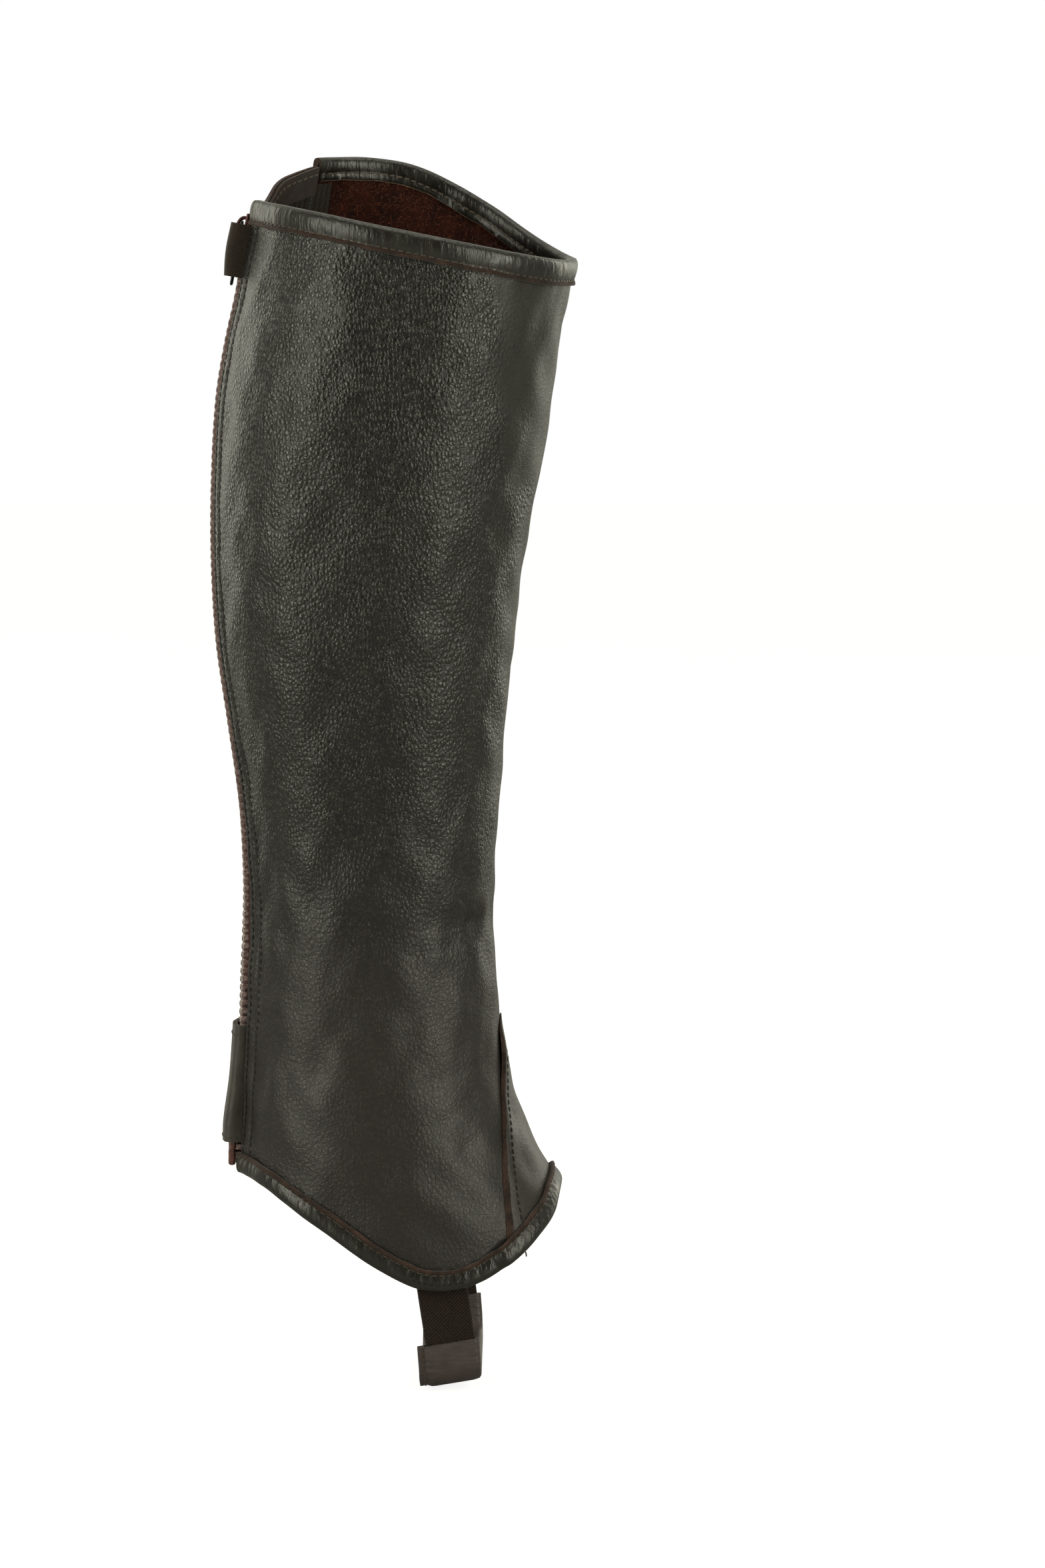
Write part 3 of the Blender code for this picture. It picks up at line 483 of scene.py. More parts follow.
def gusset_angle(height, lap=0):
    half = np.maximum(GUSSET_HALF(height) - lap, 0)
    return np.degrees(np.arcsin((half / HALF_WIDTH(height)) ** (SQUARENESS / 2)))


def notch_height(angle):
    angle = np.abs(np.asarray(angle, float))
    low, high = np.full(angle.shape, HEM_LIMITS[0]), np.full(angle.shape, float(GUSSET_TOP))
    return crossing(low, high, lambda height: gusset_angle(height, GUSSET_LAP) > angle)


def elastic_out(angle):
    """How far out the elastic's face lies: level with the leather at the zip, under it at the seam."""
    return -(LEATHER + TOUCH) * (1 - blend(*ELASTIC_RISES, angle))


# Meshes

def run_along(path):
    """Running length at each point of a path."""
    return np.concatenate([[0], np.cumsum(np.linalg.norm(np.diff(path, axis=0), axis=1))])


def lengths(points, axis):
    """Running length along an axis of a grid of points, the same for all its lines: their mean."""
    steps = np.linalg.norm(np.diff(points, axis=axis), axis=-1).mean(axis=1 - axis)
    return np.concatenate([[0], np.cumsum(steps)])


def add_object(name, data):
    thing = bpy.data.objects.new(name, data)
    bpy.context.scene.collection.objects.link(thing)
    return thing


def add_mesh(name, points, faces, materials, slots=None, cloth=None):
    """An object from points in millimetres. Cloth holds each point's place on its sheet, in millimetres."""
    mesh = bpy.data.meshes.new(name)
    mesh.from_pydata(np.asarray(points, float) * MM, [], [tuple(map(int, face)) for face in faces])
    for material in materials:
        mesh.materials.append(material)
    if slots is not None:
        mesh.polygons.foreach_set("material_index", np.asarray(slots, np.int32))
    if cloth is not None:
        corners = np.empty(len(mesh.loops), np.int32)
        mesh.loops.foreach_get("vertex_index", corners)
        layer = mesh.uv_layers.new(name="cloth")
        layer.uv.foreach_set("vector", np.asarray(cloth, np.float32)[corners].ravel())
    mesh.validate()
    shape = bmesh.new()
    shape.from_mesh(mesh)
    bmesh.ops.recalc_face_normals(shape, faces=shape.faces)
    shape.to_mesh(mesh)
    shape.free()
    mesh.shade_smooth()
    mesh.set_sharp_from_angle(angle=math.radians(CLOTH_SHARP))
    return add_object(name, mesh)


def quads(rows, columns, start=0, wrap=False):
    """Faces between neighbouring rows of points; with wrap, each row closes on itself."""
    i, j = np.meshgrid(np.arange(rows - 1), np.arange(columns if wrap else columns - 1), indexing="ij")
    k = (j + 1) % columns
    corners = np.stack([i * columns + j, i * columns + k, (i + 1) * columns + k, (i + 1) * columns + j], -1)
    return corners.reshape(-1, 4) + start


def tube(rows, columns, start=0):
    """Faces round rows of points that each close on themselves, and over the two ends."""
    last = start + (rows - 1) * columns
    around = [tuple(face) for face in quads(rows, columns, start, wrap=True)]
    return around + [tuple(range(start, start + columns)), tuple(range(last, last + columns))]


def shell(name, face, back, materials):
    """A wall between two grids of points: its face, its back and its cut edges each have a material."""
    rows, columns = face.shape[:2]
    count = rows * columns
    first = quads(rows, columns)
    second = quads(rows, columns, count)
    round_edge = np.concatenate([np.arange(columns), np.arange(1, rows) * columns + columns - 1,
                                 (rows - 1) * columns + np.arange(columns - 2, -1, -1),
                                 np.arange(rows - 2, 0, -1) * columns])
    after = np.roll(round_edge, -1)
    rim = np.stack([round_edge, after, after + count, round_edge + count], -1)
    slots = np.concatenate([np.zeros(len(first)), np.ones(len(second)), np.full(len(rim), 2)])
    u, v = np.meshgrid(lengths(face, 1), lengths(face, 0))
    cloth = np.tile(np.stack([u, v], -1).reshape(-1, 2), (2, 1))
    points = np.concatenate([face.reshape(-1, 3), back.reshape(-1, 3)])
    return add_mesh(name, points, np.concatenate([first, second, rim]), materials, slots, cloth)


def strip(name, sections, materials, profile_slots=None):
    """A closed profile swept through its sections, with flat ends."""
    rows, columns = sections.shape[:2]
    slots = list(np.tile(profile_slots if profile_slots is not None else np.zeros(columns), rows - 1))
    slots += [len(materials) - 1] * 2
    u, v = np.meshgrid(lengths(sections, 1), lengths(sections, 0))
    cloth = np.stack([u, v], -1).reshape(-1, 2)
    return add_mesh(name, sections.reshape(-1, 3), tube(rows, columns), materials, slots, cloth)


def finish_piece(thing, body=CHAP, replaced=()):
    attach(thing, body)
    if replaced:
        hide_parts(*replaced)


def resample(path, step):
    """Points at even steps along a path."""
    run = run_along(path)
    at = spaced(0, run[-1], step)
    return np.stack([np.interp(at, run, path[:, k]) for k in range(path.shape[1])], -1)


STITCH_SIDES = 6
STITCH_SHAPE = ((-0.5, -0.55, 0.5), (-0.46, -0.15, 0.8), (-0.28, 0.32, 1.0), (0, 0.45, 1.0),
                (0.28, 0.32, 1.0), (0.46, -0.15, 0.8), (0.5, -0.55, 0.5))


def sew(name, lines, look, radius=STITCH_RADIUS, length=STITCH_LENGTH, pitch=STITCH_PITCH):
    """Add rows of stitches. Each line is (points, normals) in millimetres, on the face that is sewn."""
    points, faces = [], []
    turns = np.arange(STITCH_SIDES) * 2 * math.pi / STITCH_SIDES
    for path, normals in lines:
        both = resample(np.concatenate([path, normals], 1), pitch)
        spots, outs = both[:, :3], unit(both[:, 3:])
        middles = (spots[1:] + spots[:-1]) / 2
        along = unit(spots[1:] - spots[:-1])
        out = unit(outs[1:] + outs[:-1])
        side = unit(np.cross(out, along))
        for middle, a, o, s in zip(middles, along, out, side):
            faces += tube(len(STITCH_SHAPE), STITCH_SIDES, len(points))
            for place, rise, size in STITCH_SHAPE:
                centre = middle + (a + s * STITCH_SLANT) * (place * length) + o * (rise * radius)
                for turn in turns:
                    round_thread = s * math.cos(turn) * STITCH_WIDTH + o * math.sin(turn)
                    points.append(centre + round_thread * radius * size)
    finish_piece(add_mesh(name, points, faces, [LOOK[look]]))


# Materials

class Value:
    """An output of a node. Its sums and products are nodes too."""

    def __init__(self, nodes, socket):
        self.nodes, self.socket = nodes, socket

    def __add__(self, other):
        return self.nodes.math("ADD", self, other)

    def __sub__(self, other):
        return self.nodes.math("SUBTRACT", self, other)

    def __rsub__(self, other):
        return self.nodes.math("SUBTRACT", other, self)

    def __mul__(self, other):
        return self.nodes.math("MULTIPLY", self, other)


class Nodes:
    """Short ways to add nodes to a tree."""

    def __init__(self, tree):
        self.tree = tree

    def put(self, value, socket):
        """Link another node's output to a socket, or set a number or colour on it."""
        if isinstance(value, Value):
            self.tree.links.new(value.socket, socket)
        else:
            socket.default_value = value

    def set(self, node, **sockets):
        """Fill a node's sockets by name, with _ for a space."""
        for name, value in sockets.items():
            self.put(value, node.inputs[name.replace("_", " ")])
        return node

    def node(self, kind, output, settings=(), **sockets):
        node = self.tree.nodes.new(kind)
        for name, value in dict(settings).items():
            setattr(node, name, value)
        return Value(self, self.set(node, **sockets).outputs[output])

    def math(self, operation, first, second):
        node = self.tree.nodes.new("ShaderNodeMath")
        node.operation = operation
        self.put(first, node.inputs[0])
        self.put(second, node.inputs[1])
        return Value(self, node.outputs["Value"])

    def parts(self, vector):
        split = self.set(self.tree.nodes.new("ShaderNodeSeparateXYZ"), Vector=vector)
        return [Value(self, output) for output in split.outputs]

    def ramp(self, value, low, high, to_low=0.0, to_high=1.0):
        return self.node("ShaderNodeMapRange", "Result", {"interpolation_type": "SMOOTHSTEP"}, Value=value,
                         From_Min=low, From_Max=high, To_Min=to_low, To_Max=to_high)

    def colours(self, share, first, second):
        """A mix of two colours, each of them three numbers or another node's output."""
        first, second = (c if isinstance(c, Value) else (*c, 1) for c in (first, second))
        return self.node("ShaderNodeMix", "Result", {"data_type": "RGBA"}, Factor=share, A=first, B=second)


class Finish(Nodes):
    """A material, with the textures that the looks are made of."""

    def __init__(self, name, roughness, metallic=0.0, specular=0.5, sheen=0.0, coat=0.0):
        self.material = bpy.data.materials.new(name)
        self.material.use_nodes = True
        super().__init__(self.material.node_tree)
        self.shader = self.tree.nodes["Principled BSDF"]
        self.set(self.shader, Roughness=roughness, Metallic=metallic, Specular_IOR_Level=specular)
        if sheen:
            self.set(self.shader, Sheen_Weight=sheen, Sheen_Roughness=0.45)
        if coat:
            self.set(self.shader, Coat_Weight=coat, Coat_Roughness=0.12)
        self.place = self.node("ShaderNodeTexCoord", "Object")

    def cloth(self):
        return self.node("ShaderNodeUVMap", "UV", {"uv_map": "cloth"})

    def scaled(self, vector, scale, turn=0.0):
        return self.node("ShaderNodeMapping", "Vector", Vector=vector, Scale=scale,
                         Rotation=(0, 0, math.radians(turn)))

    def shaken(self, vector, scale, detail, size):
        """The vector with each place moved a little by noise."""
        drift = self.node("ShaderNodeTexNoise", "Color", Vector=self.place, Scale=scale, Detail=detail)
        move = self.node("ShaderNodeVectorMath", "Vector", {"operation": "SCALE"}, Vector=drift, Scale=size)
        total = self.tree.nodes.new("ShaderNodeVectorMath")
        self.put(vector, total.inputs[0])
        self.put(move, total.inputs[1])
        return Value(self, total.outputs["Vector"])

    def leaning(self, vector, slope):
        """The vector with its height sheared along X, so that a drawn-out pattern slants."""
        x, y, z = self.parts(vector)
        return self.node("ShaderNodeCombineXYZ", "Vector", X=x, Y=y, Z=z + x * slope)

    def noise(self, vector, scale, detail=3.0, roughness=0.55):
        return self.node("ShaderNodeTexNoise", "Fac", Vector=vector, Scale=scale, Detail=detail,
                         Roughness=roughness)

    def cells(self, vector, scale, feature="DISTANCE_TO_EDGE"):
        return self.node("ShaderNodeTexVoronoi", "Distance", {"feature": feature}, Vector=vector, Scale=scale,
                         Randomness=0.9)

    def waves(self, vector, scale, distortion=0.0, direction="X"):
        return self.node("ShaderNodeTexWave", "Fac", {"bands_direction": direction}, Vector=vector,
                         Scale=scale, Distortion=distortion)

    def bump(self, height, depth):
        return self.node("ShaderNodeBump", "Normal", Height=height, Distance=depth * MM, Strength=1.0)

    def done(self, colour, **sockets):
        self.set(self.shader, Base_Color=colour, **sockets)
        return self.material


# A wave texture's scale for bands one unit apart, and how brown the leather is by the foot
BAND = 0.314
BROWNER = (1.38, 0.92, 1.15)


def grained_leather(name, colour, dark, cell=1.5, depth=0.18, roughness=0.29):
    """Full-grain leather: pebbles between fine valleys, calmer by the foot and down the front."""
    f = Finish(name, roughness)
    drawn = f.scaled(f.shaken(f.shaken(f.place, 420, 2.0, 0.0013), 1700, 1.0, 0.00022), (1.0, 1.0, 0.8))
    domes = f.ramp(f.cells(drawn, 1 / (cell * MM), "F1"), 0.0, 0.8, 1.0, 0.0)
    valleys = f.ramp(f.cells(drawn, 1 / (cell * MM)), 0.0, 0.22)
    small = f.ramp(f.cells(drawn, 2.1 / (cell * MM)), 0.0, 0.3)
    fine = f.noise(f.place, 2600, 2.0)
    broad = f.noise(f.place, 34)
    pebbles = domes * 0.85 + valleys * 0.35
    ahead, _, height = f.parts(f.place)
    uneven = (broad - 0.5) * 0.07
    front = f.ramp(ahead + uneven, 0.038, 0.060, 1.0, 0.18)
    low = f.ramp(height + uneven, -0.265, -0.120, 0.45, 1.0)
    strength = f.ramp(f.noise(f.place, 21, 2.0), 0.35, 0.65, 0.86, 1.0) * (front * low)
    brown = f.ramp(height, -0.26, -0.12, 1.0, 0.0)
    colour = f.colours(brown, colour, tuple(c * k for c, k in zip(colour, BROWNER)))
    wrinkles = f.noise(f.scaled(f.leaning(f.place, -0.35), (260, 260, 1150)), 1.0, 2.0)
    raised = pebbles * strength + (small * 0.16 + (wrinkles * (1.0 - strength) * 0.9 + fine * 0.2))
    # Painted shade: the valleys between the pebbles are darkened towards the dark colour, less where the
    # grain is calm. The broad noise next to it is the leather's own uneven tone.
    painted_valley_shade = (1.0 - f.ramp(pebbles, 0.35, 0.95)) * f.ramp(strength, 0.0, 0.8, 0.12, 1.0)
    shade = (1.0 - painted_valley_shade) * f.ramp(broad, 0.3, 0.7, 0.8, 1.0)
    gloss = f.ramp(pebbles, 0.25, 0.85) * strength
    between = (1.0 - f.ramp(valleys, 0.1, 0.8)) * strength
    rough = f.ramp(strength, 0.25, 0.85, roughness + 0.20, roughness + 0.03) + (between * 0.10 - gloss * 0.06)
    return f.done(f.colours(shade, dark, colour), Normal=f.bump(raised, depth), Roughness=rough)


def smooth_leather(name, colour, dark, wrinkle, scale, roughness):
    """Thin leather with a fine drawn-out wrinkle."""
    f = Finish(name, roughness)
    drawn = f.noise(f.scaled(f.place, scale), 1.0)
    height = f.ramp(drawn, 0.3, 0.7) + f.noise(f.place, 1500, 2.0) * 0.22
    tone = f.ramp(f.noise(f.place, 90), 0.3, 0.7)
    return f.done(f.colours(tone, dark, colour), Normal=f.bump(height, wrinkle),
                  Roughness=f.ramp(drawn, 0.3, 0.7, roughness + 0.08, roughness - 0.04))


def raw_leather(name, colour, dark):
    """A cut edge or raw flesh side: fibrous, matt, uneven in tone."""
    f = Finish(name, 0.85, specular=0.25, sheen=0.15)
    fibres = f.noise(f.place, 1800, 4.0, 0.7)
    tone = f.ramp(fibres + f.noise(f.place, 160), 0.75, 1.3)
    return f.done(f.colours(tone, dark, colour), Normal=f.bump(fibres, 0.25))


def suede(name, colour, dark, tips):
    """The napped inside of the leather, with paler fibre ends."""
    f = Finish(name, 0.95, specular=0.1, sheen=0.15)
    nap = f.noise(f.place, 1100, 4.0, 0.75)
    flecks = f.noise(f.scaled(f.place, (900, 900, 300), 20), 1.0, 1.0)
    base = f.colours(f.ramp(nap + f.noise(f.place, 120), 0.8, 1.25), dark, colour)
    return f.done(f.colours(f.ramp(flecks, 0.66, 0.74, 0.0, 0.7), base, tips), Normal=f.bump(nap, 0.5))


def twill(name, colour, dark, pitch, turn, depth, ribs=0.0):
    """Woven elastic: slanting ribs crossed by fine threads. The pitch is in millimetres."""
    f = Finish(name, 0.9, specular=0.2, sheen=0.12)
    cloth = f.cloth()
    wobble = f.noise(f.scaled(cloth, (0.35, 0.35, 1)), 1.0, 2.0)
    slant = f.waves(f.scaled(cloth, (1, 1, 1), turn), BAND / pitch, 0.4)
    height = slant + f.waves(f.scaled(cloth, (1, 1, 1), turn + 90), BAND / (pitch * 0.55)) * 0.4
    if ribs:
        height = height + f.waves(cloth, BAND / ribs) * 0.8
    shade = f.ramp(height, 0.2, 1.2) * f.ramp(wobble, 0.25, 0.75, 0.7, 1.0)
    return f.done(f.colours(shade, dark, colour), Normal=f.bump(height, depth))


def woven(name, colour, dark, pitch=0.5):
    """Plain zip tape: warp and weft."""
    f = Finish(name, 0.85, specular=0.25, sheen=0.2)
    cloth = f.cloth()
    height = f.waves(cloth, BAND / pitch) * f.waves(cloth, BAND / (pitch * 1.3), 0.0, "Y")
    return f.done(f.colours(f.ramp(height, 0.0, 0.7), dark, colour), Normal=f.bump(height, 0.15))


def moulded(name, colour, dark, roughness, coat, mottling=400):
    """Moulded plastic with faint flow marks."""
    f = Finish(name, roughness, coat=coat)
    flow = f.noise(f.place, mottling)
    return f.done(f.colours(f.ramp(flow, 0.3, 0.7), dark, colour), Normal=f.bump(flow, 0.05),
                  Roughness=f.ramp(flow, 0.3, 0.7, roughness - 0.05, roughness + 0.08))


def lacquered(name, colour, worn, roughness, metallic=0.85):
    """Lacquered metal, rubbed paler in places."""
    f = Finish(name, roughness, metallic=metallic)
    rub = f.noise(f.place, 900, 4.0, 0.65)
    scratches = f.noise(f.scaled(f.place, (300, 300, 4000)), 1.0, 2.0)
    return f.done(f.colours(f.ramp(rub, 0.55, 0.75), colour, worn), Normal=f.bump(scratches, 0.02),
                  Roughness=f.ramp(rub, 0.3, 0.8, roughness, roughness + 0.15))


def thread(name, colour, dark, sheen=0.2):
    """Twisted sewing thread."""
    f = Finish(name, 0.7, specular=0.3, sheen=sheen)
    twist = f.noise(f.place, 3500, 2.0)
    return f.done(f.colours(f.ramp(twist, 0.35, 0.65), dark, colour), Normal=f.bump(twist, 0.08))


LOOK = {
    "leather": grained_leather("leather", (0.0098, 0.0097, 0.0060), (0.0013, 0.0009, 0.0007)),
    "binding": smooth_leather("binding_leather", (0.0092, 0.0078, 0.0054), (0.0045, 0.0037, 0.0027), 0.22,
                              (330, 330, 85), 0.36),
    "tab": smooth_leather("tab_leather", (0.040, 0.034, 0.029), (0.028, 0.0235, 0.020), 0.10, (240, 240, 160),
                          0.5),
    "sleeve": smooth_leather("sleeve_leather", (0.053, 0.038, 0.037), (0.034, 0.024, 0.023), 0.16,
                             (170, 170, 620), 0.5),
    "raw": raw_leather("raw_edge", (0.048, 0.025, 0.017), (0.011, 0.006, 0.0045)),
    "tan": raw_leather("tan_edge", (0.20, 0.13, 0.085), (0.07, 0.045, 0.030)),
    "suede": suede("suede", (0.042, 0.0085, 0.004), (0.011, 0.0024, 0.0016), (0.11, 0.032, 0.013)),
    "nap": thread("suede_nap", (0.16, 0.052, 0.021), (0.042, 0.009, 0.004)),
    "facing": smooth_leather("facing", (0.024, 0.014, 0.011), (0.012, 0.007, 0.006), 0.08, (300, 300, 300),
                             0.7),
    "elastic": twill("elastic", (0.026, 0.018, 0.014), (0.008, 0.0055, 0.0045), 0.85, 62, 0.25, 2.4),
    "bound": smooth_leather("bound_edge", (0.050, 0.017, 0.012), (0.022, 0.008, 0.006), 0.06, (500, 500, 500),
                            0.6),
    "tab_elastic": twill("tab_elastic", (0.052, 0.037, 0.025), (0.015, 0.010, 0.007), 0.75, 58, 0.3),
    "strap": twill("strap_elastic", (0.027, 0.0105, 0.0055), (0.0035, 0.0016, 0.0012), 1.05, -52, 0.45),
    "tape": woven("zip_tape", (0.085, 0.022, 0.018), (0.030, 0.007, 0.006)),
    "teeth": moulded("zip_teeth", (0.30, 0.22, 0.21), (0.11, 0.06, 0.057), 0.26, coat=0.5, mottling=900),
    "box": moulded("zip_box", (0.115, 0.028, 0.022), (0.060, 0.014, 0.011), 0.25, coat=0.6),
    "slider": lacquered("slider", (0.060, 0.018, 0.015), (0.16, 0.10, 0.08), 0.35, 0.5),
    "pull": lacquered("pull", (0.012, 0.012, 0.013), (0.06, 0.055, 0.05), 0.3),
    "snap": lacquered("snap", (0.040, 0.032, 0.027), (0.12, 0.10, 0.08), 0.32),
    "dark_thread": thread("dark_thread", (0.010, 0.0055, 0.004), (0.003, 0.0018, 0.0014), 0.02),
    "thread": thread("thread", (0.070, 0.048, 0.032), (0.020, 0.013, 0.009)),
    "pale_thread": thread("seam_thread", (0.11, 0.085, 0.06), (0.03, 0.022, 0.016)),
}


# The main leather panel

EDGE_COLUMNS = (0, 0.25, 0.65, 1.05, 1.5, 1.95, 2.6, 3.6, 4.7, 5.3, 5.75, 6.2, 6.65, 7.2, 8.2, 9.6, 11.0,
                12.8)
PANEL_STEP = 2.4


def inner_angle(across, height):
    """Angle of a line beside the zip on the inner side, counted back from the front."""
    return zip_angle(-ZIP_EDGE - across, height) - 360


def notch_corner():
    """Angle at which the notch's edge meets the hem."""
    def above(angle):
        return notch_height(angle) > hem_height(angle) + EDGE_INSET
    return float(crossing(10.0, 80.0, above))


def groove(distance):
    """How deep rows of stitches pull the leather in, at this distance from its edge."""
    depth = sum(GROOVE * np.exp(-((distance - row) / GROOVE_HALF) ** 2 * 2) for row in SEAM_ROWS)
    swell = 0.25 * np.exp(-((distance - sum(SEAM_ROWS) / 2) / 1.4) ** 2)
    return depth - swell + 0.35 * np.exp(-(distance / 0.5) ** 2)


GATHERS = ((5.3, 0.4), (7.9, 2.2), (11.6, 4.0), (17.0, 1.0))


def gathered(run, distance, reach):
    """Small upright puckers that the sewing of a binding draws into the leather beside it."""
    waves = sum(np.sin(run * 2 * math.pi / length + start) for length, start in GATHERS)
    return 0.11 * waves * np.exp(-np.maximum(distance, 0) / reach)


def panel_grid():
    """Angles, heights and distance from the nearer sewn edge for the main panel's grid."""
    corner = notch_corner()
    degrees = math.degrees(PANEL_STEP / SEAM_RADIUS)
    seam_columns = SEAM_ANGLE - np.degrees(np.array(EDGE_COLUMNS[::-1]) / SEAM_RADIUS)
    front = np.concatenate([spaced(-90, -corner, degrees), spaced(-corner, 0, degrees)[1:],
                            spaced(0, corner, degrees)[1:], spaced(corner, seam_columns[0], degrees)[1:-1]])
    behind = spaced(0, 1, 1 / 30)[1:-1]
    columns = []
    for across in EDGE_COLUMNS:
        columns.append(lambda height, across=across: inner_angle(across, height))
    for share in behind:
        columns.append(lambda height, share=share: mix(inner_angle(EDGE_COLUMNS[-1], height), -90, share))
    for angle in np.concatenate([front, seam_columns]):
        columns.append(lambda height, angle=angle: np.full(np.shape(height), angle))
    at_zero = np.array([float(column(np.array(0.0))) for column in columns])
    top = top_height(at_zero) - inside_edge(top_height, at_zero)
    low = hem_height(at_zero) + inside_edge(hem_height, at_zero)
    low = np.where(np.abs(at_zero) < corner - 0.01, notch_height(at_zero), low)
    heights = low + (top - low) * np.linspace(0, 1, PANEL_ROWS)[:, None]
    angles = np.stack([column(heights[:, i]) for i, column in enumerate(columns)], 1)
    return angles, heights


def make_main_panel():
    angles, heights = panel_grid()
    face = leg_point(angles, heights)
    edge_run = np.linalg.norm(np.diff(face, axis=1), axis=-1)
    from_zip = np.concatenate([np.zeros((len(face), 1)), np.cumsum(edge_run, 1)], 1)
    from_seam = from_zip[:, -1:] - from_zip
    sunk = groove(from_zip) + groove(from_seam)
    from_top = top_height(angles[-1]) - heights - TOP_BINDING.outer
    from_hem = heights - hem_height(angles[0]) - HEM_BINDING.outer
    away = blend(8, 16, np.minimum(from_zip, from_seam))
    sunk = sunk + away * (gathered(from_zip, from_top, 8.0) + 0.7 * gathered(from_zip + 40, from_hem, 5.0))
    face = leg_point(angles, heights, -sunk)
    back = leg_point(angles, heights, -LEATHER)
    panel = shell("leather_panel", face, back, [LOOK["leather"], LOOK["suede"], LOOK["raw"]])
    finish_piece(panel, replaced=("main_panel",))


NAP_COUNT = 9000
NAP_DEPTH = 75


def make_nap():
    """Short fibres that stand off the leather's rough inside, near its open top."""
    draw = np.random.default_rng(21)
    angles = draw.uniform(-165, SEAM_ANGLE - SEAM_LAP_ANGLE - 2, NAP_COUNT)
    below = TOP_BINDING.inner + NAP_DEPTH * draw.uniform(0, 1, NAP_COUNT) ** 1.5
    heights = top_height(angles) - below
    point, normal, up = leg_frame(angles, heights)
    side = np.cross(up, normal)
    length = draw.uniform(0.8, 2.3, (NAP_COUNT, 1))
    turn = draw.uniform(0, 2 * math.pi, (NAP_COUNT, 1))
    curl = draw.uniform(-0.6, 0.6, (NAP_COUNT, 1))
    stand = draw.uniform(0.15, 0.6, (NAP_COUNT, 1))
    width = draw.uniform(0.05, 0.12, (NAP_COUNT, 1))
    rows = []
    for share in (0, 0.5, 1):
        heading = turn + curl * share
        along = up * np.cos(heading) + side * np.sin(heading)
        inward = LEATHER + 0.05 + stand * math.sin(math.pi * share)
        centre = point + along * length * (share - 0.5) - normal * inward
        across = up * -np.sin(heading) + side * np.cos(heading)
        taper = 1 - 0.7 * share
        rows.append(np.stack([centre + across * width * taper, centre - normal * width * taper,
                              centre - across * width * taper], 1))
    points = np.stack(rows, 1).reshape(-1, 3)
    faces = [face for i in range(NAP_COUNT) for face in tube(3, 3, 9 * i)]
    finish_piece(add_mesh("suede_fibres", points, faces, [LOOK["nap"]]))


def seam_line(angle_at, low, high, out=0.0, step=4.0):
    """Points and normals up a line whose angle depends on the height."""
    heights = spaced(low, high, step)
    angles = angle_at(heights)
    return leg_point(angles, heights, out), leg_normals(angles, heights)


def make_panel_sewing():
    lines = []
    for row in SEAM_ROWS:
        top = float(top_height(-170)) - TOP_BINDING.outer
        lines.append(seam_line(lambda h, row=row: inner_angle(row, h), -301.0, top, -GROOVE))
        seam = SEAM_ANGLE - math.degrees(row / SEAM_RADIUS)
        top = float(top_height(SEAM_ANGLE)) - TOP_BINDING.outer
        low = float(hem_height(SEAM_ANGLE)) + HEM_BINDING.outer
        lines.append(seam_line(lambda h, seam=seam: np.full(len(h), seam), low, top, -GROOVE))
    sew("panel_sewing", lines, "dark_thread", radius=0.38)


# The front gusset

def gusset_out(share, height):
    """The gusset lies on the leather, and near its apex the inner side's edge stands off it."""
    high, middle, low = GUSSET_LIFTS_AT
    bowed = blend(low, middle, height) * (1 - blend(middle, high, height))
    return TOUCH + 0.1 + GUSSET_LIFT * bowed * np.clip(-share, 0, 1) ** 1.5


def make_gusset():
    shares = np.concatenate([[-1, -0.985], np.linspace(-0.96, 0.96, 45), [0.985, 1]])

    def below_cloth(height):
        angle = shares * gusset_angle(height)
        return height < hem_height(angle) + inside_edge(hem_height, angle)

    low = crossing(*(np.full(shares.shape, limit) for limit in HEM_LIMITS), below_cloth)
    heights = low + (GUSSET_TOP - low) * np.linspace(0, 1, GUSSET_ROWS)[:, None]
    angles = shares * gusset_angle(heights)
    lift = gusset_out(shares, heights)
    rounded = 0.3 * np.exp(-((1 - np.abs(shares)) * 40) ** 2)
    thick = LEATHER * mix(0.3, 1.0, blend(GUSSET_TOP + 1, GUSSET_TOP - 16, heights))
    cut = GUSSET_SLANT * blend(GUSSET_TOP, GUSSET_TOP - 8, heights) + ragged(heights, 5, 0.3)
    face_angles = shares * gusset_angle(heights, np.maximum(cut, 0))
    face = leg_point(face_angles, heights, lift + thick - rounded)
    back = leg_point(angles, heights, lift)
    gusset = shell("leather_gusset", face, back, [LOOK["leather"], LOOK["suede"], LOOK["raw"]])
    finish_piece(gusset, replaced=("front_gusset",))
    lines = []
    for side in (-1, 1):
        heights = spaced(-338, -262, 4)
        angles = side * gusset_angle(heights, 3.2)
        out = gusset_out(angles / gusset_angle(heights), heights) + LEATHER
        lines.append((leg_point(angles, heights, out), leg_normals(angles, heights)))
    sew("gusset_sewing", lines, "dark_thread")


# The elastic panel on the outer side and the facing inside its top

def elastic_top(angle):
    return edge_height(angle, ELASTIC_EDGE, (70, 99))


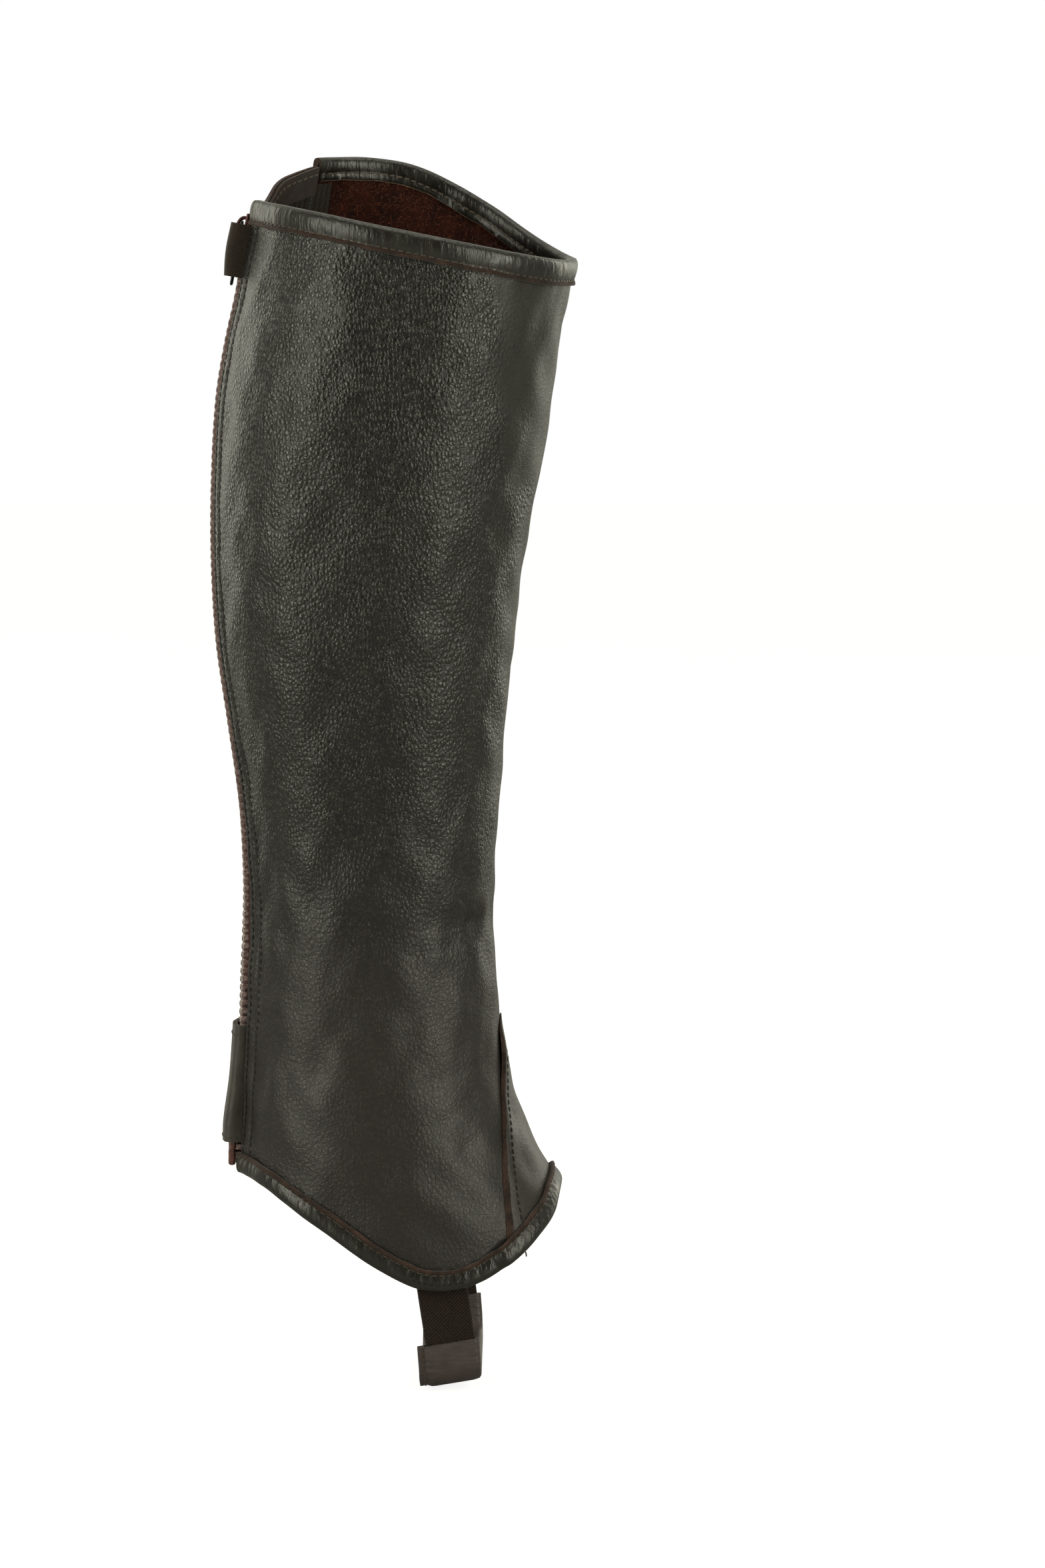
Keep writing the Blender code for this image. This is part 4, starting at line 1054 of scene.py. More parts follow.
def make_side_elastic():
    shares = np.linspace(0, 1, 26)
    edge_at_zero = float(zip_angle(ZIP_EDGE, 0.0))
    start = SEAM_ANGLE + 0.8
    lap = spaced(SEAM_ANGLE - SEAM_LAP_ANGLE, start, 1.6)[:-1]
    flat = np.concatenate([lap, mix(start, edge_at_zero, shares)])
    leaning = np.concatenate([np.zeros(len(lap)), shares])
    under_binding = top_height(np.minimum(flat, SEAM_ANGLE)) - TOP_BINDING.inner - 1
    top = np.where(leaning > 0, elastic_top(flat), under_binding)
    low = hem_height(flat) + inside_edge(hem_height, flat)
    heights = low + (top - low) * np.linspace(0, 1, ELASTIC_ROWS)[:, None]
    angles = mix(np.broadcast_to(flat, heights.shape), mix(start, zip_angle(ZIP_EDGE, heights), leaning),
                 np.minimum(leaning * 10, 1))
    out = elastic_out(angles)
    ends = np.minimum(top - heights, 3.0)
    lip = 0.35 * np.exp(-(ends / 0.8) ** 2)
    face = leg_point(angles, heights, out - lip)
    back = leg_point(angles, heights, out - ELASTIC)
    panel = shell("side_elastic_cloth", face, back, [LOOK["elastic"]] * 2 + [LOOK["bound"]])
    finish_piece(panel, replaced=("side_elastic",))
    # A row of stitches along its top and one beside the zip
    angles = spaced(SEAM_ANGLE + 4, edge_at_zero - 2, 3)
    heights = elastic_top(angles) - 2.0
    along_top = (leg_point(angles, heights, elastic_out(angles)), leg_normals(angles, heights))
    beside_zip = seam_line(lambda height: zip_angle(ZIP_EDGE + 2.2, height), -300.0, 74.0)
    sew("elastic_sewing", [along_top, beside_zip], "thread")


def make_facing():
    stop = float(zip_angle(TAPE_HALF + 1.0, float(TAPE_STUB_TOP)))
    row = spaced(SEAM_ANGLE + 1.5, stop, 1.4)
    top = elastic_top(row) - 0.3
    out = elastic_out(row) - ELASTIC - 0.3
    heights = top - FACING_HEIGHT * np.linspace(1, 0, 9)[:, None]
    angles = np.broadcast_to(row, heights.shape)
    facing = shell("facing_strip", leg_point(angles, heights, out), leg_point(angles, heights, out - FACING),
                   [LOOK["facing"], LOOK["facing"], LOOK["raw"]])
    finish_piece(facing, replaced=("elastic_facing",))
    line = (leg_point(row, top - 2.6, out - FACING), -leg_normals(row, top - 2.6))
    sew("facing_sewing", [line], "pale_thread")


# Folded bindings

def binding_profile(kind):
    """Profile of a folded strip as (side, lift, distance in from the edge).

    On side 1 the lift is measured out from the slot's outer face and on side -1 in from its inner face. On
    side 0 it is a share of half the slot, from its middle.
    """
    outer, inner, row, flare = kind
    return np.array([
        (1, 0.0, outer), (1, 0.35 * LEAF + flare, outer + 0.15), (1, 0.8 * LEAF + flare, outer + 0.05),
        (1, LEAF + flare, outer - 0.35), (1, LEAF + 0.7 * flare, outer - 1.1),
        (1, 0.98 * LEAF, mix(row, outer, 0.45)), (1, 0.82 * LEAF, row + 0.35),
        (1, OUTER_ROW_LEFT * LEAF, row), (1, 0.86 * LEAF, row - 0.5), (1, 1.08 * LEAF, row - 1.4),
        (1, 1.27 * LEAF, 0.62 * row), (1, 1.33 * LEAF, 0.45 * row), (1, 1.25 * LEAF, 0.29 * row),
        (1, LEAF, 0.16 * row), (1, 0.55 * LEAF, 0.45), (0, 0.45, 0.08), (0, 0.0, -0.05), (0, -0.45, 0.08),
        (-1, 0.55 * LEAF, 0.45), (-1, LEAF, 1.3), (-1, 1.2 * LEAF, 2.6), (-1, 1.2 * LEAF, 4.2),
        (-1, LEAF, 5.4), (-1, INNER_ROW_LEFT * LEAF, INNER_ROW), (-1, 0.95 * LEAF, 7.0),
        (-1, LEAF, inner - 0.3), (-1, 0.8 * LEAF, inner), (-1, 0.0, inner), (-1, 0.0, EDGE_INSET - TOUCH),
        (1, 0.0, EDGE_INSET - TOUCH),
    ])


RAW_FLANGE = 5


def edge_places(angles, edge, inward):
    """Rates of the angle and the height, along the face, for each millimetre in from an edge."""
    step = 0.5
    heights = edge(angles)
    along = unit(leg_xyz(angles + step, edge(angles + step)) - leg_xyz(angles - step, edge(angles - step)))
    inwards = np.cross(leg_normals(angles, heights), along) * inward
    around = (leg_xyz(angles + step, heights) - leg_xyz(angles - step, heights)) / (2 * step)
    up = (leg_xyz(angles, heights + step) - leg_xyz(angles, heights - step)) / (2 * step)
    aa, uu, au = (around * around).sum(-1), (up * up).sum(-1), (around * up).sum(-1)
    ai, ui = (around * inwards).sum(-1), (up * inwards).sum(-1)
    spread = aa * uu - au * au
    return heights, (ai * uu - ui * au) / spread, (ui * aa - ai * au) / spread


def along_edge(angles, edge, inward, out, distance):
    """Points this far out of the face and this far in from an edge."""
    heights, turn_rate, rise_rate = edge_places(angles, edge, inward)
    return leg_point(angles + turn_rate * distance, heights + rise_rate * distance, out)


def ragged(run, seed, size):
    """A hand-cut edge's small wander along its length."""
    phases = np.random.default_rng(seed).uniform(0, 2 * math.pi, 5)
    waves = [np.sin(run / wave + phase) for wave, phase in zip((2.1, 4.7, 9.3, 17.0, 31.0), phases)]
    return size * sum(waves) / 2.4


def make_binding(name, kind, angles, edge, inward, slot, node, seed, inner_edge_look):
    heights, turn_rate, rise_rate = edge_places(angles, edge, inward)
    run = run_along(leg_xyz(angles, heights))
    slot_out, slot_in = slot(angles)
    profile = binding_profile(kind)
    side, lift, distance = profile.T
    middle, half = (slot_out + slot_in) / 2, (slot_out - slot_in) / 2
    out = np.where(side == 1, slot_out[:, None] + lift,
                   np.where(side == -1, slot_in[:, None] - lift, middle[:, None] + half[:, None] * lift))
    # Puckers between the stitches, and a slightly uneven cut
    near_row = np.exp(-((distance - kind.stitch_row) / 1.6) ** 2) * (np.abs(lift) > 0.3)
    pucker = 0.1 * np.cos(run * 2 * math.pi / STITCH_PITCH)[:, None] * near_row
    wander = ragged(run, seed, 0.12)[:, None] * 0.6 * (distance > kind.stitch_row + 1) * (lift > 0.3)
    out = out + pucker * np.where(side == 1, 1, -1) + wander
    reach = distance + ragged(run, seed + 1, 0.16)[:, None] * (distance > kind.stitch_row)
    sections = leg_point(angles[:, None] + turn_rate[:, None] * reach,
                         heights[:, None] + rise_rate[:, None] * reach, out)
    slots = np.zeros(len(profile))
    slots[:RAW_FLANGE + 1] = 1
    slots[-5:-2] = 2
    binding = strip(name, sections, [LOOK["binding"], LOOK["raw"], inner_edge_look, LOOK["raw"]], slots)
    finish_piece(binding, replaced=(node,))
    normals = leg_normals(angles, heights)
    rows = []
    for sign, distance, out in ((1, kind.stitch_row, slot_out + OUTER_ROW_LEFT * LEAF),
                                (-1, INNER_ROW, slot_in - INNER_ROW_LEFT * LEAF)):
        spots = leg_point(angles + turn_rate * distance, heights + rise_rate * distance, out)
        rows.append((spots, normals * sign))
    return rows


def make_top_binding():
    angles = spaced(float(inner_angle(0, 76.0)), SEAM_ANGLE, BINDING_STEP)

    def slot(angle):
        return np.full(angle.shape, TOUCH), np.full(angle.shape, -LEATHER - TOUCH)

    outer, inner = make_binding("top_binding_strip", TOP_BINDING, angles, top_height, -1, slot, "top_binding",
                                3, LOOK["tan"])
    sew("top_binding_sewing", [outer], "thread")
    sew("top_binding_inner_sewing", [inner], "pale_thread")


def make_hem_binding():
    gusset_end = float(gusset_angle(GUSSET_AT_HEM))
    elastic_start = SEAM_ANGLE - SEAM_LAP_ANGLE

    def slot(angle):
        over_gusset = 1 - blend(0.5, 4.5, np.abs(angle) - gusset_end)
        past_elastic = blend(-5, -1, angle - elastic_start)
        depth = np.maximum(ELASTIC - elastic_out(angle), ELASTIC)
        deepest = mix(LEATHER, depth, past_elastic)
        return TOUCH + (LEATHER + TOUCH + 0.25) * over_gusset, -deepest - TOUCH

    ends = (float(inner_angle(0, float(HEM_BACK))), float(zip_angle(ZIP_EDGE, float(HEM_BACK))))
    angles = spaced(*ends, BINDING_STEP)
    rows = make_binding("hem_binding_strip", HEM_BINDING, angles, hem_height, 1, slot, "hem_binding", 7,
                        LOOK["raw"])
    sew("hem_binding_sewing", rows, "thread")
    make_strap_box()


def make_strap_box():
    """The stitched rectangle that holds each end of the strap to the hem's binding."""
    low, high = STRAP_BOX_LOW, HEM_BINDING.stitch_row
    lines = []
    for side in (-1, 1):
        at = side * np.arange(0, 360, 1.0)
        spots = leg_xyz(at, STRAP_BOX_HEIGHT)
        middle = at[np.argmin(np.abs(spots[:, 0] - STRAP_BOX_AHEAD) + 1e3 * (spots[:, 1] * side < 0))]
        ends = (middle - STRAP_BOX_HALF, middle + STRAP_BOX_HALF)
        runs = [(np.linspace(*ends, 40), low, 1.28)]
        runs += [(np.full(8, end), np.linspace(low, high, 8), 1.2) for end in ends]
        for angles, distance, leaves in runs:
            spots = along_edge(angles, hem_height, 1, TOUCH + leaves * LEAF, distance)
            lines.append((spots, leg_normals(angles, STRAP_BOX_HEIGHT)))
    sew("strap_box_sewing", lines, "dark_thread", pitch=2.4, length=1.8)


# The zip

def tab_share(height, span, margin=11, fade=8):
    low, high = span[0] - margin, span[1] + margin
    return blend(low - fade, low, height) * (1 - blend(high, high + fade, height))


def make_tape(name, side, node):
    face = -(LEATHER if side < 0 else ELASTIC) - 0.2
    spots = np.array(TAPE_SPOTS)
    fine = np.unique(np.concatenate([spots[:, 0], spaced(3.6, TAPE_HALF, 0.9)]))[::-1]
    rise = np.interp(-fine, -spots[:, 0], spots[:, 1])
    dip = np.interp(-fine, -spots[:, 0], spots[:, 2])
    top = np.where(fine > ZIP_EDGE - 1, TAPE_SPAN[1], TAPE_STUB_TOP)
    heights = TAPE_SPAN[0] + (top - TAPE_SPAN[0]) * np.linspace(0, 1, TAPE_ROWS)[:, None]
    out = np.broadcast_to(face * (1 - rise), heights.shape)
    if side < 0:
        for tab in (TOP_TAB, BOTTOM_TAB):
            deepest = -LEATHER - GAP - tab.thickness - GAP
            out = mix(out, deepest * (1 - dip), tab_share(heights, tab.span))
    across = np.broadcast_to(side * fine, heights.shape)
    tape = shell(name, zip_point(across, heights, out), zip_point(across, heights, out - TAPE),
                 [LOOK["tape"]] * 3)
    finish_piece(tape, replaced=(node,))


TOOTH_OUTLINE = ((-4.9, -0.8), (-4.5, -1.2), (-3.4, -1.25), (-2.2, -0.8), (-0.9, -0.68), (0.0, -1.3),
                 (0.9, -1.25), (1.35, -0.7), (1.4, 0.0), (1.35, 0.7), (0.9, 1.25), (0.0, 1.3),
                 (-0.9, 0.68), (-2.2, 0.8), (-3.4, 1.25), (-4.5, 1.2), (-4.9, 0.8))
TOOTH_RISE = 0.25


def tooth_shape():
    """One tooth in its own frame: X out, Y across towards the other tape, Z along the zip."""
    low, high = CHAIN_FACES[0], CHAIN_FACES[1] + TOOTH_RISE
    rings = []
    for out, size in ((low + 0.25, 0.82), (low + 0.55, 1.0), (high - 0.45, 1.0), (high - 0.1, 0.9),
                      (high, 0.72), (high, 0.45), (high - 0.42, 0.32)):
        rings.append([(out, across * (size if across > -1 else 1), along * size)
                      for across, along in TOOTH_OUTLINE])
    return np.array(rings).reshape(-1, 3), tube(len(rings), len(TOOTH_OUTLINE))


def make_teeth():
    shape, shape_faces = tooth_shape()
    points, faces = [], []
    half_pitch = TOOTH_PITCH / 2
    heights = np.arange(CHAIN_SPAN[0] + 1.5, CHAIN_SPAN[1] - 1.0, half_pitch)
    for i, height in enumerate(heights):
        side = 1 if i % 2 else -1
        matrix = np.array(zip_frame(height))
        local = shape * (1, side, 1)
        start = len(points) * len(shape)
        points.append(local @ matrix[:3, :3].T + matrix[:3, 3])
        faces += [tuple(start + k for k in face) for face in shape_faces]
    teeth = add_mesh("zip_teeth_row", np.concatenate(points), faces, [LOOK["teeth"]])
    finish_piece(teeth, replaced=("zip_chain",))


def solid_from(name, shape, look, place):
    """An object from a bmesh and the matrix that puts it in its place, both in millimetres."""
    bmesh.ops.scale(shape, vec=(MM, MM, MM), verts=shape.verts)
    bmesh.ops.recalc_face_normals(shape, faces=shape.faces)
    mesh = bpy.data.meshes.new(name)
    shape.to_mesh(mesh)
    shape.free()
    mesh.materials.append(look)
    mesh.shade_smooth()
    mesh.set_sharp_from_angle(angle=math.radians(SOLID_SHARP))
    place.translation *= MM
    mesh.transform(place)
    return add_object(name, mesh)


def rounded_block(shape, low, high, rounding, segments=3):
    """Add a box with rounded edges to a bmesh."""
    made = bmesh.ops.create_cube(shape, size=1)["verts"]
    bmesh.ops.scale(shape, vec=Vector(high) - Vector(low), verts=made)
    bmesh.ops.translate(shape, vec=(Vector(high) + Vector(low)) / 2, verts=made)
    edges = list({edge for vert in made for edge in vert.link_edges})
    bmesh.ops.bevel(shape, geom=edges, offset=rounding, segments=segments, profile=0.5, affect="EDGES")


def wire_loop(shape, path, radius, first, sides=10, closed=True):
    """Add a round wire to a bmesh, along a path that lies in the plane square to the first direction."""
    count = len(path)
    rings = []
    for i, point in enumerate(path):
        ahead = Vector(path[(i + 1) % count if closed else min(i + 1, count - 1)])
        behind = Vector(path[(i - 1) % count if closed else max(i - 1, 0)])
        second = (ahead - behind).normalized().cross(first)
        ring = []
        for k in range(sides):
            turn = 2 * math.pi * k / sides
            aside = (first * math.cos(turn) + second * math.sin(turn)) * radius
            ring.append(shape.verts.new(Vector(point) + aside))
        rings.append(ring)
    for i in range(count if closed else count - 1):
        here, there = rings[i], rings[(i + 1) % count]
        for k in range(sides):
            m = (k + 1) % sides
            shape.faces.new((here[k], here[m], there[m], there[k]))
    if not closed:
        shape.faces.new(rings[0])
        shape.faces.new(rings[-1])


def make_slider():
    """Two shaped plates round the teeth, joined by a wedge, with an arched bail for the pull."""
    shape = bmesh.new()
    outer = (CHAIN_FACES[1] + CLEARANCE, CHAIN_FACES[1] + CLEARANCE + PLATE)
    inner = (CHAIN_FACES[0] - CLEARANCE - PLATE, CHAIN_FACES[0] - CLEARANCE)
    for (near, far), (half, end), rounding in ((outer, OUTER_PLATE, 0.6), (inner, INNER_PLATE, 0.5)):
        rounded_block(shape, (near, -half, -end), (far, half, end), rounding)
    rounded_block(shape, (inner[1] - 0.4, -2.2, 0.2), (outer[0] + 0.4, 2.2, 6), 0.5)
    for side in (-FLANGE_AT, FLANGE_AT):
        rounded_block(shape, (outer[0] - 0.9, side - FLANGE_HALF, -6.4),
                      (outer[0] + 0.3, side + FLANGE_HALF, 4.5), 0.3)
    path = []
    for turn in np.linspace(0, math.pi, 15):
        path.append((outer[1] - 0.4 + BAIL_RISE * math.sin(turn) ** 0.7, 0,
                     BAIL_MIDDLE - BAIL_HALF * math.cos(turn)))
    wire_loop(shape, path, BAIL_WIRE, Vector((0, 1, 0)), closed=False)
    slider = solid_from("slider_body", shape, LOOK["slider"], zip_frame(SLIDER_HEIGHT))
    finish_piece(slider, replaced=("zip_slider",))


def make_pull():
    corner, bottom = PULL_CORNER, -PULL_LENGTH
    centres = ((PULL_HALF - corner, -corner, 0), (-PULL_HALF + corner, -corner, 90),
               (-PULL_HALF + corner, bottom + corner, 180), (PULL_HALF - corner, bottom + corner, 270))
    path = []
    for y, z, start in centres:
        for turn in np.radians(np.linspace(start, start + 90, 9)):
            path.append((0, y + corner * math.cos(turn), z + corner * math.sin(turn)))
    shape = bmesh.new()
    wire_loop(shape, path, PULL_WIRE, Vector((1, 0, 0)), sides=14)
    place = zip_frame(SLIDER_HEIGHT) @ Matrix.Translation((PULL_AXIS[0], 0, PULL_AXIS[1]))
    place = place @ Matrix.Rotation(math.radians(PULL_LEAN), 4, "Y")
    pull = solid_from("pull_wire", shape, LOOK["pull"], place)
    finish_piece(pull, PULL, ("zip_pull",))


def make_box():
    half = (BOX_SPAN[1] - BOX_SPAN[0]) / 2
    face = CHAIN_FACES[1] + CLEARANCE
    shape = bmesh.new()
    rounded_block(shape, (face, -BOX_HALF, -half), (face + BOX_DEPTH, BOX_HALF, half), 1.1, 5)
    for height in BOX_RIBS:
        rounded_block(shape, (face + BOX_DEPTH - 0.5, -BOX_HALF + 1.4, height - 0.4),
                      (face + BOX_DEPTH + 0.12, BOX_HALF - 1.4, height + 0.4), 0.25)
    box = solid_from("box_body", shape, LOOK["box"], zip_frame(sum(BOX_SPAN) / 2))
    finish_piece(box, replaced=("zip_box",))


# Tabs across the zip

def tab_path(peak, rest):
    """Outer face of a tab as (across, out): under the leather, up over the zip, down on the elastic."""
    root = -LEATHER - GAP
    wall = -ZIP_EDGE + 0.7
    return (
        (-TAB_ROOT, root), (-12.0, root), (-8.9, root), (wall - 0.55, root + 0.15), (wall - 0.1, root + 0.9),
        (wall, 0), (wall + 0.15, 0.36 * peak), (wall + 0.6, 0.68 * peak), (wall + 1.8, 0.92 * peak),
        (-3.0, peak), (0, 1.02 * peak), (3.0, peak), (6.0, mix(rest, peak, 0.8)),
        (9.2, mix(rest, peak, 0.36)), (12.4, mix(rest, peak, 0.06)), (16.0, rest), (20.5, rest),
        (TAB_END, rest),
    )


def smooth_path(points, count):
    """A smooth run of points through a few given ones."""
    points = np.asarray(points, float)
    run = run_along(points)
    curves = [Curve(np.stack([run, points[:, k]], -1)) for k in range(points.shape[1])]
    at = np.linspace(0, run[-1], count)
    return np.stack([curve(at) for curve in curves], -1)


def tab_faces(tab, rows=26, columns=90):
    """Face and back grids of a tab, with its outer face's normals."""
    heights = np.linspace(*tab.span, rows)
    peaks = Curve(tab.peaks)(heights)
    rest = TOUCH + tab.thickness
    paths = np.stack([smooth_path(tab_path(peak, rest), columns) for peak in peaks])
    face = zip_point(paths[..., 0], np.broadcast_to(heights[:, None], paths.shape[:2]), paths[..., 1])
    normals = unit(np.cross(np.gradient(face, axis=1), np.gradient(face, axis=0)))
    # Turn the normals so that they point out of the leg, away from an upright line inside it
    middle = face[:, columns // 2] * (1, 1, 0) + (5.0, 0, 0)
    normals = normals * np.sign((normals[:, columns // 2] * middle).sum(-1).mean())
    return face, face - normals * tab.thickness, normals


TAB_SEWN_FROM = 25


def make_tabs():
    rows = []
    for name, tab, look, slot_name, node in (
            ("top_tab_webbing", TOP_TAB, "tab_elastic", "elastic", "top_tab"),
            ("bottom_tab_leather", BOTTOM_TAB, "tab", "tab_leather", "bottom_tab")):
        face, back, normals = tab_faces(tab)
        rim = LOOK["raw"] if tab is BOTTOM_TAB else LOOK[look]
        piece = shell(name, face, back, [LOOK[look], LOOK[look], rim])
        finish_piece(piece, replaced=(node,))
        if tab is BOTTOM_TAB:
            for share in (0.06, 0.94):
                line = int(share * (len(face) - 1))
                rows.append((face[line, TAB_SEWN_FROM:], normals[line, TAB_SEWN_FROM:]))
        for column in (-4,) if tab is BOTTOM_TAB else (-5, -9):
            rows.append((face[2:-2, column], normals[2:-2, column]))
    sew("tab_sewing", rows, "thread", pitch=2.6, length=1.9)


# A snap's cap as (radius, rise) from its foot up
SNAP_PROFILE = ((4.6, -0.1), (5.0, 0.0), (5.2, 0.18), (5.15, 0.45), (4.85, 0.62), (4.5, 0.6), (4.3, 0.75),
                (4.1, 1.05), (3.4, 1.42), (2.4, 1.68), (1.2, 1.8))
SNAP_SIDES = 40


def make_snaps():
    for tab, name in ((TOP_TAB, "top_tab_snap"), (BOTTOM_TAB, "bottom_tab_snap")):
        height = sum(tab.span) / 2
        angle = zip_angle(float(SNAP_AT), height)
        point, out, up = leg_frame(angle, height)
        point = point + out * (TOUCH + tab.thickness)
        side = np.cross(up, out)
        turns = np.linspace(0, 2 * math.pi, SNAP_SIDES + 1)[:-1]
        ways = [up * math.cos(turn) + side * math.sin(turn) for turn in turns]
        rings = [[point + out * rise + way * radius for way in ways] for radius, rise in SNAP_PROFILE]
        cap = strip(name + "_cap", np.array(rings), [LOOK["snap"]])
        finish_piece(cap, replaced=(name,))


# The strap under the boot and its sleeve

def strap_line():
    """Middle of the whole strap as (across, height), from the inner side's hem round to the outer side's."""
    sole_side = STRAP_SIDE - STRAP_TUCK
    corner_top = STRAP_LOW + STRAP_CORNER
    line = [(-STRAP_SIDE, height) for height in spaced(STRAP_TOP, STRAP_BENDS_IN, STRAP_STEP)]
    for height in spaced(STRAP_BENDS_IN, SLEEVE_START, STRAP_STEP)[1:]:
        line.append((-STRAP_SIDE + STRAP_TUCK * float(blend(STRAP_BENDS_IN, corner_top, height)), height))
    for turn in np.radians(np.linspace(0, 90, 14)):
        line.append((-sole_side + STRAP_CORNER * (1 - math.cos(turn)),
                     corner_top - STRAP_CORNER * math.sin(turn)))
    line += [(across, STRAP_LOW) for across in spaced(-sole_side + STRAP_CORNER, 0, STRAP_STEP)[1:]]
    return line + [(-across, height) for across, height in reversed(line[:-1])]


def strap_frames():
    """Points along the strap's middle, with the ways across it and out of its face."""
    line = np.array(strap_line())
    points = np.stack([STRAP_AHEAD(line[:, 1]), line[:, 0], line[:, 1]], -1)
    along = unit(np.gradient(points, axis=0))
    lean = math.radians(STRAP_LEAN)
    turn = -np.copysign(STRAP_TURN, points[:, 1]) * blend(STRAP_TURNS_FROM, STRAP_BENDS_IN, points[:, 2])
    ahead, rise = (np.full(len(points), size) for size in (math.cos(lean), math.sin(lean)))
    wide = unit(np.stack([ahead, turn, rise], -1))
    return points, wide, unit(np.cross(wide, along))


def strap_sections(keep, corners):
    points, wide, out = (part[keep] for part in strap_frames())
    corners = np.asarray(corners, float)
    return points[:, None] + wide[:, None] * corners[:, :1] + out[:, None] * corners[:, 1:]


def make_strap():
    half, thick = STRAP_WIDTH / 2, STRAP / 2
    flat = [(across, -thick) for across in np.linspace(-half + 0.5, half - 0.5, 24)]
    side = [(half - 0.12, -thick * 0.6), (half, 0), (half - 0.12, thick * 0.6)]
    ring = flat + side + [(-across, -away) for across, away in flat + side]
    points, _, _ = strap_frames()
    strap = strip("strap_webbing", strap_sections(slice(None), ring), [LOOK["strap"]])
    finish_piece(strap, replaced=("understrap",))


def make_sleeve():
    """Leather wrapped round the strap: folded at the front, its two edges sewn together at the back."""
    half = STRAP_WIDTH / 2
    back = -half - SLEEVE_SEAM
    room = STRAP / 2 + 0.15
    lower = [(back, -0.02), (back, -SLEEVE + 0.15), (back + 0.3, -SLEEVE - 0.02), (back + 1.3, -SLEEVE),
             (back + 2.6, -SLEEVE + 0.1), (-half + 0.1, -SLEEVE - 0.25), (-half + 1.2, -room - SLEEVE + 0.15),
             (-half + 3, -room - SLEEVE), (-4, -room - SLEEVE), (0, -room - SLEEVE), (4, -room - SLEEVE),
             (half - 2, -room - SLEEVE), (half - 0.4, -room - SLEEVE + 0.2), (half + 0.7, -1.75),
             (half + 1.35, -0.95), (half + 1.6, -0.3)]
    outside = lower + [(across, -away) for across, away in reversed(lower)]
    inside = [(-half - 0.9, -0.12), (-half - 0.6, -0.3), (-half - 0.2, -room), (0, -room),
              (half - 0.1, -room), (half + 0.2, -0.5)]
    inside += [(across, -away) for across, away in reversed(inside)]
    middle, wide, out = strap_frames()
    keep = middle[:, 2] < SLEEVE_START + 0.1
    middle, wide, out = middle[keep], wide[keep], out[keep]
    wander = ragged(np.arange(len(middle)) * STRAP_STEP, 11, 0.10)
    outer = strap_sections(keep, outside) + out[:, None] * wander[:, None, None] * 0.5
    inner = strap_sections(keep, inside)
    rows, first, second = len(middle), len(outside), len(inside)
    points = np.concatenate([outer.reshape(-1, 3), inner.reshape(-1, 3)])
    faces = [tuple(face) for face in quads(rows, first, wrap=True)]
    slots = list(np.tile([1] + [0] * (first - 2) + [1], rows - 1))
    faces += [tuple(face) for face in quads(rows, second, rows * first, wrap=True)]
    slots += [1] * (second * (rows - 1))
    for row in (0, rows - 1):
        ring = [row * first + k for k in range(first)]
        hole = [rows * first + row * second + k for k in range(second)]
        nearest = [int(round(k * second / first)) % second for k in range(first)]
        for k in range(first):
            a, b = ring[k], ring[(k + 1) % first]
            c, d = hole[nearest[(k + 1) % first]], hole[nearest[k]]
            faces.append((a, b, c, d) if c != d else (a, b, c))
            slots.append(1)
    cloth = np.zeros((len(points), 2))
    sleeve = add_mesh("sleeve_leather", points, faces, [LOOK["sleeve"], LOOK["raw"]], slots, cloth)
    finish_piece(sleeve, replaced=("strap_sleeve",))
    lines = []
    for sign in (1, -1):
        lines.append((middle + wide * (back + 2.2) + out * sign * (SLEEVE - 0.05), out * sign))
    sew("sleeve_sewing", lines, "thread", pitch=2.6, length=1.9)


# The studio

FLOOR_HALF = 6.0
FLOOR_HEIGHT = -0.3937


def make_floor():
    mesh = bpy.data.meshes.new("floor")
    ways = ((-1, -1), (1, -1), (1, 1), (-1, 1))
    mesh.from_pydata([(x * FLOOR_HALF, y * FLOOR_HALF, FLOOR_HEIGHT) for x, y in ways], [], [(0, 1, 2, 3)])
    f = Finish("floor", 0.9, specular=0.2)
    glow = f.node("ShaderNodeLightPath", "Is Camera Ray") * 0.85
    f.set(f.shader, Emission_Color=(1, 1, 1, 1), Emission_Strength=glow)
    tone = f.noise(f.place, 3, 2.0)
    mesh.materials.append(f.done(f.colours(tone, (0.36, 0.36, 0.35), (0.40, 0.40, 0.39))))
    floor = add_object("floor", mesh)


